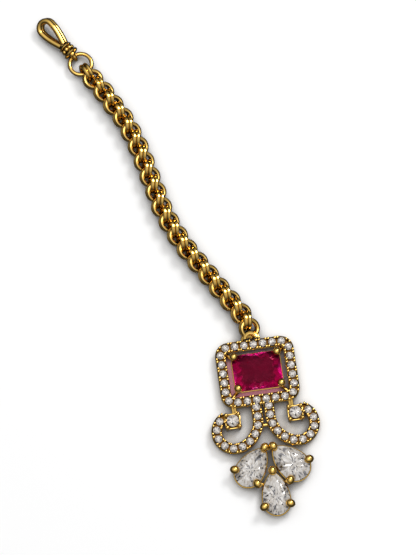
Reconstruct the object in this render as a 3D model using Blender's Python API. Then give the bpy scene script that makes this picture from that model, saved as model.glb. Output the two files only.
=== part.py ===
"""Maang tikka lying on a flat surface: hair loop, jump ring, double belcher chain and a pendant
with a ruby in a pavé halo, two scrolls and three pear drops. Metres, +Z up, y along the length."""

import math

import bmesh
import bpy
from mathutils import Matrix, Vector

MM = 0.001

# Placing: the pendant's own frame has its centre at the ruby and v up towards the chain
PENDANT_TURN = math.radians(8.1)
SEAT_GAP = 0.25 * MM
SOLDER = 0.15 * MM

# Pavé bands
BAND_WIDTH = 2.35 * MM
BAND_HEIGHT = 2.6 * MM
BAND_EDGE = 0.2 * MM
PAVE_DIAMETER = 1.8 * MM
PAVE_CROWN = 0.35 * MM
PAVE_SUNK = 0.3 * MM
PAVE_SIDES = 8

# Halo, measured along the middle of its band
HALO_WIDTH = 15.3 * MM
HALO_LENGTH = 12.6 * MM
HALO_CORNER = 1.9 * MM
HALO_CORNER_STEPS = 4
HALO_STONES = 25

# Bail: two half rings soldered to the top of the halo
BAIL_OFFSET = 0.4 * MM
BAIL_WIRE = 0.62 * MM
BAIL_LOWER_RADIUS = 1.85 * MM
BAIL_LOWER_HEIGHT = 1.6 * MM
BAIL_UPPER_RADIUS = 1.75 * MM
BAIL_UPPER_HEIGHT = 2.2 * MM

# Ruby, its basket and prongs
RUBY_WIDTH = 10.8 * MM
RUBY_LENGTH = 8.1 * MM
RUBY_CORNER = 1.2 * MM
RUBY_GIRDLE_HEIGHT = 3.1 * MM
RUBY_CROWN = 0.95 * MM
RUBY_PAVILION = 2.5 * MM
BASKET_WALL = 0.55 * MM
RUBY_BASKET_BOTTOM = 0.8 * MM
RUBY_BASKET_TOP = 2.7 * MM
PRONG_WIRE = 0.9 * MM
PRONG_FOOT = 0.3 * MM
RUBY_BALL = 1.85 * MM
RUBY_PRONG_INSET = 0.52 * MM
RUBY_BALL_HEIGHT = 3.7 * MM
STRUT_WIDTH = 0.8 * MM
STRUT_BOTTOM = 0.5 * MM
STRUT_TOP = 1.6 * MM

# Scrolls: a straight stem, a wide arc and a tighter arc that ends at the square setting
STEM_OFFSET = 1.4 * MM
STEM_LENGTH = 3.2 * MM
SWEEP_RADIUS = 6.3 * MM
SWEEP_TURN = math.radians(74.2)
VOLUTE_RADIUS = 3.85 * MM
VOLUTE_TURN = math.radians(175)
SCROLL_STEP = 1.4 * MM
SCROLL_STONES = 11
FIRST_STONE_DROP = 0.8 * MM
LAST_STONE_MARGIN = 1.8 * MM
BRIDGE_DROP = 1.7 * MM
BRIDGE_LENGTH = 0.8 * MM
BRIDGE_BOTTOM = 0.5 * MM
BRIDGE_TOP = 1.9 * MM

# Square settings with the larger round stones
SETTING_WIDTH = 3.4 * MM
SETTING_OFFSET = 7.0 * MM
SETTING_DROP = 3.5 * MM
SIDE_STONE_DIAMETER = 2.7 * MM
SIDE_STONE_GIRDLE_HEIGHT = 2.9 * MM
SIDE_STONE_CROWN = 0.45 * MM
SIDE_STONE_PAVILION = 1.2 * MM
SETTING_BALL = 0.9 * MM
SETTING_BALL_HEIGHT = 2.9 * MM
POST_WIDTH = 0.45 * MM
POST_SPACING = 0.8 * MM
POST_OFFSET = -0.65 * MM

# Pear stones, their baskets and prongs
PEAR_WIDTH = 6.5 * MM
PEAR_LENGTH = 9.8 * MM
PEAR_GIRDLE_HEIGHT = 2.7 * MM
PEAR_CROWN = 0.8 * MM
PEAR_PAVILION = 2.1 * MM
PEAR_RIM = 0.2 * MM
PEAR_BASKET_TOP = 2.4 * MM
PEAR_BASKET_TAPER = 0.7 * MM
PEAR_BALL = 1.85 * MM
PEAR_BALL_HEIGHT = 3.3 * MM
PEAR_PRONG_TURN = math.radians(22)
PEAR_TILT = math.radians(40)
PEAR_TIP_OFFSET = 0.95 * MM
PEAR_TIP_DROP = 17.65 * MM
LAST_PEAR_TIP_DROP = 23.05 * MM
JOINT_WIDTH = 1.1 * MM
JOINT_BOTTOM = 0.4 * MM
JOINT_TOP = 1.9 * MM

# Chain of double rings
RING_DIAMETER = 4.3 * MM
RING_WIRE = 0.62 * MM
PAIR_SPACING = 0.66 * MM
PAIR_COUNT = 39
RING_SIDES = 10
CONTACT_WIDTH = 0.3 * MM

# The middle line of the chain, chosen by eye from the hair loop to the pendant, in millimetres
CHAIN_ROUTE = (
    (-38.6, 69.7), (-35.6, 66.3), (-33.2, 62.9), (-30.9, 59.9), (-28.7, 56.1), (-26.5, 51.4),
    (-24.7, 46.6), (-22.9, 41.9), (-21.15, 37.2), (-18.7, 32.5), (-15.6, 27.8), (-11.8, 23.1),
    (-8.1, 18.5), (-4.3, 13.9), (-2.65, 11.6), (-1.72, 9.56),
)

# How the pairs lie: share of the chain, spacing, roll about the chain and lean, in degrees
CHAIN_LAY = (
    (0.00, 1.22, 90, 8),
    (0.06, 1.20, 92, 12),
    (0.12, 1.10, 100, 20),
    (0.25, 1.00, 122, 22),
    (0.88, 1.00, 128, 22),
    (1.00, 1.16, 94, 8),
)

# Jump ring
JUMP_DIAMETER = 6.0 * MM
JUMP_WIRE = 0.95 * MM
JUMP_HEIGHT = 1.5 * MM
JUMP_HANG = 0.36 * MM
JUMP_SWING = math.radians(-10)

# Hair loop with its collar, measured along its axis from the eye
CLIP_TURN = math.radians(132.8)
CLIP_ROLL = math.radians(-35)
EYE_RADIUS = 1.0 * MM
EYE_WIRE = 0.55 * MM
COLLAR_START = 0.82 * MM
SMALL_FLANGE = (2.4 * MM, 0.45 * MM)
BEAD_SECTION = (1.5 * MM, 1.2 * MM)
LARGE_FLANGE = (2.85 * MM, 0.5 * MM)
NECK = (1.7 * MM, 0.7 * MM)
COLLAR_BEAD = 0.95 * MM
COLLAR_BEADS = 7
LOOP_LENGTH = 8.1 * MM
LOOP_WIDTH = 4.6 * MM
LOOP_WIRE = 0.88 * MM
LOOP_NECK_GAP = 1.0 * MM


def material(name, colour, roughness, metallic, transmission=0.0):
    finish = bpy.data.materials.new(name)
    finish.use_nodes = True
    shader = finish.node_tree.nodes["Principled BSDF"]
    shader.inputs["Base Color"].default_value = (*colour, 1.0)
    shader.inputs["Roughness"].default_value = roughness
    shader.inputs["Metallic"].default_value = metallic
    shader.inputs["Transmission Weight"].default_value = transmission
    return finish


def put_in_scene(name, shape, finish=None, turn=0.0):
    """Makes an object of a bmesh, which it frees, and stands it in its group's frame."""
    bmesh.ops.recalc_face_normals(shape, faces=shape.faces)
    mesh = bpy.data.meshes.new(name)
    shape.to_mesh(mesh)
    shape.free()
    mesh.shade_smooth()
    mesh.set_sharp_from_angle(angle=math.radians(35))
    piece = bpy.data.objects.new(name, mesh)
    bpy.context.scene.collection.objects.link(piece)
    piece.rotation_euler.z = turn
    if finish:
        mesh.materials.append(finish)
    return piece


def helper(name, shape, turn=0.0):
    """A shape that only joins or cuts another piece."""
    piece = put_in_scene(name, shape, turn=turn)
    piece.hide_render = True
    piece.display_type = "WIRE"
    return piece


def boolean(piece, operation, helpers, own_overlaps=False):
    """Joins the helpers to the piece, or cuts them from it, all at once."""
    group = bpy.data.collections.new(piece.name + "_" + operation.lower())
    for shape in helpers:
        group.objects.link(shape)
    step = piece.modifiers.new(operation.title(), "BOOLEAN")
    step.operation = operation
    step.operand_type = "COLLECTION"
    step.collection = group
    step.use_self = own_overlaps


def bridge(shape, lower, upper):
    for index in range(len(lower)):
        after = (index + 1) % len(lower)
        shape.faces.new((lower[index], lower[after], upper[after], upper[index]))


def loft(shape, loops, closed=False):
    """Skins closed loops of points, and caps the ends unless the loops close into a ring."""
    rings = [[shape.verts.new(point) for point in loop] for loop in loops]
    for lower, upper in zip(rings, rings[1:]):
        bridge(shape, lower, upper)
    if closed:
        bridge(shape, rings[-1], rings[0])
    else:
        shape.faces.new(rings[0][::-1])
        shape.faces.new(rings[-1])


def block(shape, centre, size, turn=0.0):
    place = Matrix.Translation(centre) @ Matrix.Rotation(turn, 4, "Z") @ Matrix.Diagonal((*size, 1))
    bmesh.ops.create_cube(shape, size=1, matrix=place)


def bar(shape, start, end, width, bottom, top):
    """A level bar between two points of the pendant's plane."""
    run = Vector(end) - Vector(start)
    middle = (Vector(end) + Vector(start)) / 2
    size = (run.length, width, top - bottom)
    block(shape, (*middle, (bottom + top) / 2), size, math.atan2(run.y, run.x))


def turned(shape, profile, place, sides):
    """A solid turned about its own Z: profile rows are radius and height, closed by flat ends."""
    loops = []
    for radius, height in profile:
        corners = [2 * math.pi * (side + 0.5) / sides for side in range(sides)]
        loops.append([place @ Vector((radius * math.cos(a), radius * math.sin(a), height)) for a in corners])
    loft(shape, loops)


def ball_profile(radius, height, from_angle=-90, rows=5):
    """The rows of a ball from an angle below its middle up to its top, with small flat poles."""
    angles = [math.radians(from_angle + (82 - from_angle) * row / rows) for row in range(rows + 1)]
    return [(radius * math.cos(a), height + radius * math.sin(a)) for a in angles]


def prong(shape, place, ball, ball_height, wire=PRONG_WIRE, sides=8):
    """An upright wire with a ball on its end."""
    start = -math.degrees(math.acos(min(wire / ball, 0.95)))
    rows = [(wire / 2, PRONG_FOOT)] + ball_profile(ball / 2, ball_height, start, 3)
    turned(shape, rows, Matrix.Translation((*place, 0)), sides)


def ring_of_wire(shape, place, radius, section, sides, sweep=2 * math.pi):
    """A ring, or an arc of one, in its own XY plane; section points are outward and upward."""
    full = abs(sweep - 2 * math.pi) < 1e-6
    steps = sides if full else sides + 1
    loops = []
    for step in range(steps):
        angle = sweep * step / sides
        away = Vector((math.cos(angle), math.sin(angle), 0))
        loops.append([place @ (away * (radius + out) + Vector((0, 0, up))) for out, up in section])
    loft(shape, loops, closed=full)


def round_section(diameter, sides, start=0.0):
    corners = [2 * math.pi * (side + start) / sides for side in range(sides)]
    return [(diameter / 2 * math.cos(a), diameter / 2 * math.sin(a)) for a in corners]


def double_section(wire, spacing):
    """Two round wires soldered one on the other, with a groove between them outside and a flat inside."""
    lobe = [(math.cos(math.radians(a)) * wire / 2, math.sin(math.radians(a)) * wire / 2) for a in (15, 90, 165)]
    waist = wire * 0.2
    upper = [(out, up + spacing / 2) for out, up in lobe]
    lower = [(-out, -up - spacing / 2) for out, up in lobe]
    return [*upper, *lower, (waist, 0)]


def rounded_rectangle(width, length, corner, steps):
    points = []
    for quarter in range(4):
        sign_u = 1 if quarter in (0, 3) else -1
        sign_v = 1 if quarter in (0, 1) else -1
        centre = Vector((sign_u * (width / 2 - corner), sign_v * (length / 2 - corner)))
        for step in range(steps + 1):
            angle = math.pi / 2 * (quarter + step / steps)
            points.append(centre + corner * Vector((math.cos(angle), math.sin(angle))))
    return points


def cut_corner_rectangle(grow=0.0):
    """The ruby's outline, grown by a gap on every side."""
    half_u = RUBY_WIDTH / 2 + grow
    half_v = RUBY_LENGTH / 2 + grow
    cut = RUBY_CORNER + grow * (2 - math.sqrt(2))
    corner = [(half_u, half_v - cut), (half_u - cut, half_v)]
    points = [Vector(point) for point in corner]
    points += [Vector((-u, v)) for u, v in corner[::-1]]
    points += [Vector((-u, -v)) for u, v in corner]
    points += [Vector((u, -v)) for u, v in corner[::-1]]
    return points


def pear_outline(grow=0.0, steps=5):
    """Half a circle with an arc from each side to the tip, which points along +Y."""
    half = PEAR_WIDTH / 2 + grow
    reach = PEAR_LENGTH - PEAR_WIDTH / 2 + grow
    side_radius = (half * half + reach * reach) / (2 * half)
    side_turn = math.asin(reach / side_radius)
    points = []
    for step in range(steps):
        angle = side_turn * step / steps
        points.append(Vector((half - side_radius * (1 - math.cos(angle)), side_radius * math.sin(angle))))
    left = [Vector((-point.x, point.y)) for point in points[::-1]]
    bowl = [math.pi + math.pi * step / (steps + 1) for step in range(1, steps + 1)]
    round_end = [half * Vector((math.cos(angle), math.sin(angle))) for angle in bowl]
    return [*points, Vector((0, reach)), *left, *round_end]


def round_outline(diameter, sides, grow=0.0):
    radius = diameter / 2 + grow
    corners = [2 * math.pi * (side + 0.5) / sides for side in range(sides)]
    return [Vector((radius * math.cos(a), radius * math.sin(a))) for a in corners]


def cut_stone(shape, outline, rows, place):
    """A faceted stone: rows are shares of the outline across and along, and a height."""
    loops = [[place @ Vector((p.x * su, p.y * sv, height)) for p in outline] for su, sv, height in rows]
    loft(shape, loops)


def stone_rows(facets, girdle, crown, pavilion, grow=0.0):
    """Puts a stone's facet table at its real heights, thicker by the gap where it cuts a seat."""
    rows = []
    for share_u, share_v, level in facets:
        height = level * (crown + grow) if level > 0 else level * (pavilion + grow)
        rows.append((share_u, share_v, girdle + height))
    return rows


# Facet tables: share across, share along, height as a share of the crown or of the pavilion
STEP_CUT = (
    (0.40, 0.08, -1.0), (0.74, 0.62, -0.6), (1.0, 1.0, -0.04), (1.0, 1.0, 0.1),
    (0.85, 0.81, 0.62), (0.66, 0.60, 1.0),
)
PEAR_CUT = (
    (0.05, 0.05, -1.0), (0.62, 0.62, -0.5), (1.0, 1.0, -0.04), (1.0, 1.0, 0.1),
    (0.8, 0.8, 0.66), (0.56, 0.56, 1.0),
)
ROUND_CUT = ((0.08, 0.08, -1.0), (1.0, 1.0, -0.05), (1.0, 1.0, 0.1), (0.56, 0.56, 1.0))


def ruby_solid(shape, grow=0.0):
    rows = stone_rows(STEP_CUT, RUBY_GIRDLE_HEIGHT, RUBY_CROWN, RUBY_PAVILION, grow)
    cut_stone(shape, cut_corner_rectangle(grow), rows, Matrix())


def pear_places():
    """Name and place of each pear stone; the place's origin is the middle of its round end."""
    reach = PEAR_LENGTH - PEAR_WIDTH / 2
    places = {}
    for name, side in (("pear_left", -1), ("pear_right", 1)):
        turn = side * PEAR_TILT
        tip = Vector((side * PEAR_TIP_OFFSET, -PEAR_TIP_DROP))
        centre = tip + reach * Vector((math.sin(turn), -math.cos(turn)))
        places[name] = Matrix.Translation((*centre, 0)) @ Matrix.Rotation(turn, 4, "Z")
    places["pear_bottom"] = Matrix.Translation((0, -LAST_PEAR_TIP_DROP - reach, 0))
    return places


def pear_solid(shape, place, grow=0.0):
    rows = stone_rows(PEAR_CUT, PEAR_GIRDLE_HEIGHT, PEAR_CROWN, PEAR_PAVILION, grow)
    cut_stone(shape, pear_outline(grow), rows, place)


def halo_edge():
    return HALO_LENGTH / 2 + BAND_WIDTH / 2


def setting_places():
    drop = halo_edge() + SETTING_DROP
    return {
        "side_stone_left": Matrix.Translation((-SETTING_OFFSET, -drop, 0)),
        "side_stone_right": Matrix.Translation((SETTING_OFFSET, -drop, 0)),
    }


def side_stone_solid(shape, place, grow=0.0):
    rows = stone_rows(
        ROUND_CUT, SIDE_STONE_GIRDLE_HEIGHT, SIDE_STONE_CROWN, SIDE_STONE_PAVILION, grow
    )
    cut_stone(shape, round_outline(SIDE_STONE_DIAMETER, 8, grow), rows, place)


def band_section():
    half = BAND_WIDTH / 2
    return (
        (-half, 0), (half, 0), (half, BAND_HEIGHT - BAND_EDGE), (half - BAND_EDGE, BAND_HEIGHT),
        (BAND_EDGE - half, BAND_HEIGHT), (-half, BAND_HEIGHT - BAND_EDGE),
    )


def along(points, distance):
    """The point at a distance along a run of points."""
    for start, end in zip(points, points[1:]):
        run = (end - start).length
        if distance <= run:
            return start.lerp(end, distance / run)
        distance -= run
    return points[-1]


def run_length(points):
    return sum((end - start).length for start, end in zip(points, points[1:]))


def halo_path():
    return rounded_rectangle(HALO_WIDTH, HALO_LENGTH, HALO_CORNER, HALO_CORNER_STEPS)


def halo_solid(shape):
    loops = []
    for across, height in band_section():
        grown = rounded_rectangle(
            HALO_WIDTH + 2 * across, HALO_LENGTH + 2 * across, HALO_CORNER + across, HALO_CORNER_STEPS
        )
        loops.append([Vector((*point, height)) for point in grown])
    loft(shape, loops, closed=True)


def halo_stones():
    """Places of the halo's stones, one of them at the middle of the top."""
    top = Vector((0, HALO_LENGTH / 2))
    corners = halo_path()
    quarter = HALO_CORNER_STEPS + 1
    loop = [top, *corners[quarter:], *corners[:quarter], top]
    step = run_length(loop) / HALO_STONES
    return [along(loop, step * index) for index in range(HALO_STONES)]


def scroll_path():
    """The middle of the right scroll's band, from inside the halo to its square setting."""
    stem_end = Vector((STEM_OFFSET, -halo_edge() - STEM_LENGTH))
    sweep_centre = stem_end + Vector((SWEEP_RADIUS, 0))
    points = [Vector((STEM_OFFSET, SOLDER - halo_edge())), stem_end]
    steps = math.ceil(SWEEP_RADIUS * SWEEP_TURN / SCROLL_STEP)
    for step in range(1, steps + 1):
        angle = math.pi + SWEEP_TURN * step / steps
        points.append(sweep_centre + SWEEP_RADIUS * Vector((math.cos(angle), math.sin(angle))))
    start = math.pi + SWEEP_TURN
    inward = (SWEEP_RADIUS - VOLUTE_RADIUS) * Vector((math.cos(start), math.sin(start)))
    steps = math.ceil(VOLUTE_RADIUS * VOLUTE_TURN / SCROLL_STEP)
    for step in range(1, steps + 1):
        angle = start + VOLUTE_TURN * step / steps
        around = VOLUTE_RADIUS * Vector((math.cos(angle), math.sin(angle)))
        points.append(sweep_centre + inward + around)
    return points


def band_along(shape, path, side):
    """Sweeps the pavé band along a path, mirrored for the left side."""
    loops = []
    for index, point in enumerate(path):
        before = path[max(index - 1, 0)]
        after = path[min(index + 1, len(path) - 1)]
        heading = (after - before).normalized()
        across = Vector((-heading.y, heading.x))
        loops.append([
            Vector((side * (point + across * out).x, (point + across * out).y, height))
            for out, height in band_section()
        ])
    loft(shape, loops)


def scroll_stones(side):
    path = scroll_path()
    first = FIRST_STONE_DROP + SOLDER
    last = run_length(path) - LAST_STONE_MARGIN
    step = (last - first) / (SCROLL_STONES - 1)
    spots = [along(path, first + step * index) for index in range(SCROLL_STONES)]
    return [Vector((side * spot.x, spot.y)) for spot in spots]


def pave_stones(shape):
    """Every pavé stone as one group of small faceted solids sunk in the bands."""
    rows = ((0.7, 0.7, BAND_HEIGHT - PAVE_SUNK), (1, 1, BAND_HEIGHT), (0.58, 0.58, BAND_HEIGHT + PAVE_CROWN))
    outline = round_outline(PAVE_DIAMETER, PAVE_SIDES)
    for spot in [*halo_stones(), *scroll_stones(-1), *scroll_stones(1)]:
        cut_stone(shape, outline, rows, Matrix.Translation((*spot, 0)))


def ruby_basket(shape):
    """A tapered wall under the ruby's girdle."""
    rows = (
        (0, RUBY_BASKET_TOP), (-BASKET_WALL, RUBY_BASKET_TOP),
        (-BASKET_WALL * 2, RUBY_BASKET_BOTTOM), (-BASKET_WALL, RUBY_BASKET_BOTTOM),
    )
    loft(shape, [[Vector((*p, z)) for p in cut_corner_rectangle(grow)] for grow, z in rows], closed=True)


def ruby_prong_spots():
    reach_u = RUBY_WIDTH / 2 - RUBY_PRONG_INSET
    reach_v = RUBY_LENGTH / 2 - RUBY_PRONG_INSET
    return [(su * reach_u, sv * reach_v) for su in (-1, 1) for sv in (-1, 1)]


def ruby_prongs(shape):
    for spot in ruby_prong_spots():
        prong(shape, spot, RUBY_BALL, RUBY_BALL_HEIGHT)


def ruby_struts(shape):
    """Bars that carry the ruby's basket at the halo's four inner corners."""
    corner_u = HALO_WIDTH / 2 - HALO_CORNER * 0.3
    corner_v = HALO_LENGTH / 2 - HALO_CORNER * 0.3
    reach = PRONG_WIRE / 2 + BASKET_WALL * 1.5
    for u, v in ruby_prong_spots():
        inner = (u - math.copysign(reach, u), v - math.copysign(reach, v))
        outer = (math.copysign(corner_u, u), math.copysign(corner_v, v))
        bar(shape, inner, outer, STRUT_WIDTH, STRUT_BOTTOM, STRUT_TOP)


def bail(shape, radius, height):
    base = Matrix.Translation((-BAIL_OFFSET, halo_edge() - SOLDER, height))
    ring_of_wire(shape, base, radius, round_section(BAIL_WIRE, 6), 8, math.pi)


def scroll_bridge(shape):
    """The small bar across the slit between the two stems."""
    level = -halo_edge() - STEM_LENGTH - BRIDGE_DROP
    sag = SWEEP_RADIUS - math.sqrt(SWEEP_RADIUS ** 2 - BRIDGE_DROP ** 2)
    reach = STEM_OFFSET + sag - BAND_WIDTH / 2 + SOLDER
    bar(shape, (-reach, level), (reach, level), BRIDGE_LENGTH, BRIDGE_BOTTOM, BRIDGE_TOP)


def setting_block(shape, place):
    half = SETTING_WIDTH / 2
    rows = ((half, 0), (half, BAND_HEIGHT - BAND_EDGE), (half - BAND_EDGE, BAND_HEIGHT))
    corners = ((1, 1), (-1, 1), (-1, -1), (1, -1))
    loft(shape, [[place @ Vector((u * reach, v * reach, z)) for u, v in corners] for reach, z in rows])


def setting_prongs(shape, place):
    reach = SETTING_WIDTH / 2 - SETTING_BALL / 2
    for u in (-reach, reach):
        for v in (-reach, reach):
            spot = place @ Vector((u, v, 0))
            prong(shape, spot.xy, SETTING_BALL, SETTING_BALL_HEIGHT, SETTING_BALL * 0.8, 6)


def setting_posts(shape, side):
    """Two thin wires from the halo down to the square setting."""
    top = SOLDER - halo_edge()
    bottom = SETTING_WIDTH / 2 - SETTING_DROP - halo_edge() - SOLDER
    for shift in (-POST_SPACING / 2, POST_SPACING / 2):
        u = side * (SETTING_OFFSET + POST_OFFSET + shift)
        bar(shape, (u, top), (u, bottom), POST_WIDTH, BRIDGE_BOTTOM, BRIDGE_TOP)


def pear_basket(shape, place):
    rows = (
        (PEAR_RIM, PEAR_BASKET_TOP), (PEAR_RIM - BASKET_WALL, PEAR_BASKET_TOP),
        (PEAR_RIM - BASKET_WALL - PEAR_BASKET_TAPER, 0), (PEAR_RIM - PEAR_BASKET_TAPER, 0),
    )
    loft(shape, [[place @ Vector((*p, z)) for p in pear_outline(grow)] for grow, z in rows], closed=True)


def pear_prong_spots(place):
    """Two prongs beside the round end and one at the tip, in the pendant's plane."""
    half = PEAR_WIDTH / 2 + PEAR_RIM / 2
    across = half * math.cos(PEAR_PRONG_TURN)
    back = -half * math.sin(PEAR_PRONG_TURN)
    tip = PEAR_LENGTH - PEAR_WIDTH / 2
    return [(place @ Vector((u, v, 0))).xy for u, v in ((across, back), (-across, back), (0, tip))]


def pear_joints(shape):
    """Solder between the two upper tips, at the last pear's sides and under the scrolls."""
    places = pear_places()
    tips = [pear_prong_spots(places[name])[2] for name in ("pear_left", "pear_right")]
    bar(shape, tips[0], tips[1], JOINT_WIDTH, JOINT_BOTTOM, JOINT_TOP)
    for name, inner in (("pear_left", 0), ("pear_right", 1)):
        spot = pear_prong_spots(places[name])[inner]
        last = (places["pear_bottom"] @ Vector((0, PEAR_LENGTH * 0.18, 0))).xy
        toward = (last - spot).normalized()
        bar(shape, spot, spot + toward * PEAR_BALL * 1.1, JOINT_WIDTH, JOINT_BOTTOM, JOINT_TOP)


def scroll_joint(shape, side):
    """The short solder bar from the scroll's underside to the pear below it."""
    name = "pear_right" if side > 0 else "pear_left"
    place = pear_places()[name]
    near = min(
        ((side * spot.x, spot.y) for spot in scroll_path()),
        key=lambda spot: (Vector(spot) - (place @ Vector((side * PEAR_WIDTH * 0.4, PEAR_LENGTH * 0.3, 0))).xy).length,
    )
    target = (place @ Vector((side * PEAR_WIDTH * 0.32, PEAR_LENGTH * 0.25, 0))).xy
    bar(shape, near, target, JOINT_WIDTH, JOINT_BOTTOM, JOINT_TOP)


def joined_shapes(makers):
    """One helper object for each maker, all in the pendant's frame."""
    helpers = []
    for name, maker, arguments in makers:
        shape = bmesh.new()
        maker(shape, *arguments)
        helpers.append(helper(name, shape, PENDANT_TURN))
    return helpers


def pendant_frame(gold):
    """The soldered gold work of the pendant, with its pavé stones."""
    shape = bmesh.new()
    halo_solid(shape)
    frame = put_in_scene("pendant_frame", shape, gold, PENDANT_TURN)
    makers = [
        ("join_pave", pave_stones, ()),
        ("join_ruby_basket", ruby_basket, ()),
        ("join_ruby_prongs", ruby_prongs, ()),
        ("join_ruby_struts", ruby_struts, ()),
        ("join_lower_bail", bail, (BAIL_LOWER_RADIUS, BAIL_LOWER_HEIGHT)),
        ("join_upper_bail", bail, (BAIL_UPPER_RADIUS, BAIL_UPPER_HEIGHT)),
        ("join_scroll_left", band_along, (scroll_path(), -1)),
        ("join_scroll_right", band_along, (scroll_path(), 1)),
        ("join_bridge", scroll_bridge, ()),
        ("join_posts_left", setting_posts, (-1,)),
        ("join_posts_right", setting_posts, (1,)),
        ("join_pear_joints", pear_joints, ()),
        ("join_scroll_joint_left", scroll_joint, (-1,)),
        ("join_scroll_joint_right", scroll_joint, (1,)),
    ]
    for name, place in setting_places().items():
        makers.append(("join_block_" + name, setting_block, (place,)))
        makers.append(("join_prongs_" + name, setting_prongs, (place,)))
    for name, place in pear_places().items():
        makers.append(("join_basket_" + name, pear_basket, (place,)))
    makers.append(("join_pear_prongs", pear_prongs, ()))
    boolean(frame, "UNION", joined_shapes(makers))
    seats = [("seat_ruby", ruby_solid, (SEAT_GAP,))]
    seats += [("seat_" + name, side_stone_solid, (place, SEAT_GAP)) for name, place in setting_places().items()]
    seats += [("seat_" + name, pear_solid, (place, SEAT_GAP)) for name, place in pear_places().items()]
    boolean(frame, "DIFFERENCE", joined_shapes(seats))
    return frame


def pear_prongs(shape):
    for place in pear_places().values():
        for spot in pear_prong_spots(place):
            prong(shape, spot, PEAR_BALL, PEAR_BALL_HEIGHT)


def stones(red, clear):
    makers = [("ruby", ruby_solid, (), red)]
    makers += [(name, side_stone_solid, (place,), clear) for name, place in setting_places().items()]
    makers += [(name, pear_solid, (place,), clear) for name, place in pear_places().items()]
    for name, maker, arguments, finish in makers:
        shape = bmesh.new()
        maker(shape, *arguments)
        put_in_scene(name, shape, finish, PENDANT_TURN)


def smooth_route():
    """A Catmull-Rom curve through the chain's chosen points, as close-set points."""
    chosen = [Vector(point) * MM for point in CHAIN_ROUTE]
    padded = [2 * chosen[0] - chosen[1], *chosen, 2 * chosen[-1] - chosen[-2]]
    steps = 12
    points = []
    for p0, p1, p2, p3 in zip(padded, padded[1:], padded[2:], padded[3:]):
        for step in range(steps):
            t = step / steps
            points.append(0.5 * (
                2 * p1 + (p2 - p0) * t + (2 * p0 - 5 * p1 + 4 * p2 - p3) * t * t
                + (3 * p1 - p0 - 3 * p2 + p3) * t ** 3
            ))
    return [*points, chosen[-1]]


def lay_at(share):
    """Spacing, roll and lean at a share of the chain, between the rows of its table."""
    for lower, upper in zip(CHAIN_LAY, CHAIN_LAY[1:]):
        if share <= upper[0]:
            part = (share - lower[0]) / (upper[0] - lower[0])
            return [a + (b - a) * part for a, b in zip(lower[1:], upper[1:])]
    return CHAIN_LAY[-1][1:]


def pair_places():
    """The place of each pair of rings: its rings lie in the place's XY plane."""
    route = smooth_route()
    weights = [lay_at((index + 0.5) / (PAIR_COUNT - 1))[0] for index in range(PAIR_COUNT - 1)]
    unit = run_length(route) / sum(weights)
    places = []
    for index in range(PAIR_COUNT):
        distance = unit * sum(weights[:index])
        spot = along(route, distance)
        ahead = along(route, distance + unit / 2) - along(route, max(distance - unit / 2, 0))
        roll, lean = (math.radians(value) for value in lay_at(index / (PAIR_COUNT - 1))[1:])
        roll += math.pi / 2 * (index % 2)
        height = RING_DIAMETER / 2
        place = Matrix.Translation((*spot, height)) @ Matrix.Rotation(math.atan2(ahead.y, ahead.x), 4, "Z")
        places.append(place @ Matrix.Rotation(roll, 4, "X") @ Matrix.Rotation(-lean, 4, "Y"))
    return places


def wire_points(place, steps=36):
    """Points along the middles of a pair's two wires."""
    radius = (RING_DIAMETER - RING_WIRE) / 2
    angles = [2 * math.pi * step / steps for step in range(steps)]
    return [
        place @ Vector((radius * math.cos(a), radius * math.sin(a), up))
        for a in angles for up in (-PAIR_SPACING / 2, PAIR_SPACING / 2)
    ]


def contacts(shape, places):
    """A speck of metal where each pair comes nearest to the next, so that the chain is one body."""
    for first, second in zip(places, places[1:]):
        theirs = wire_points(second)
        pairs = [(mine, min(theirs, key=lambda other: (other - mine).length)) for mine in wire_points(first)]
        mine, other = min(pairs, key=lambda pair: (pair[0] - pair[1]).length)
        across = other - mine
        turn = Vector((1, 0, 0)).rotation_difference(across).to_matrix().to_4x4()
        size = (across.length, CONTACT_WIDTH, CONTACT_WIDTH)
        spot = Matrix.Translation((mine + other) / 2) @ turn @ Matrix.Diagonal((*size, 1))
        bmesh.ops.create_cube(shape, size=1, matrix=spot)


def chain(gold):
    places = pair_places()
    shape = bmesh.new()
    radius = (RING_DIAMETER - RING_WIRE) / 2
    section = double_section(RING_WIRE, PAIR_SPACING)
    for place in places:
        ring_of_wire(shape, place, radius, section, RING_SIDES)
    links = put_in_scene("chain", shape, gold)
    specks = bmesh.new()
    contacts(specks, places)
    boolean(links, "UNION", [helper("join_contacts", specks)], own_overlaps=True)
    return links


def jump_ring_centre():
    """The jump ring hangs in the first pair of the chain, towards the hair loop."""
    first, second = (Vector(point) * MM for point in CHAIN_ROUTE[:2])
    away = Matrix.Rotation(JUMP_SWING, 2) @ (first - second).normalized()
    return first + away * ((JUMP_DIAMETER - JUMP_WIRE) / 2 + JUMP_HANG)


def jump_ring(gold):
    shape = bmesh.new()
    centre = jump_ring_centre()
    place = Matrix.Translation((*centre, JUMP_HEIGHT))
    ring_of_wire(shape, place, (JUMP_DIAMETER - JUMP_WIRE) / 2, round_section(JUMP_WIRE, 8), 16)
    return put_in_scene("jump_ring", shape, gold)


def clip_place():
    """The clip's frame: its origin is in the jump ring's wire and X runs towards the loop."""
    direction = Vector((math.cos(CLIP_TURN), math.sin(CLIP_TURN)))
    spot = jump_ring_centre() + direction * (JUMP_DIAMETER - JUMP_WIRE) / 2
    return Matrix.Translation((*spot, 0)) @ Matrix.Rotation(CLIP_TURN, 4, "Z")


def loop_start():
    return COLLAR_START + SMALL_FLANGE[1] + BEAD_SECTION[1] + LARGE_FLANGE[1] + NECK[1] - SOLDER * 2


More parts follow.
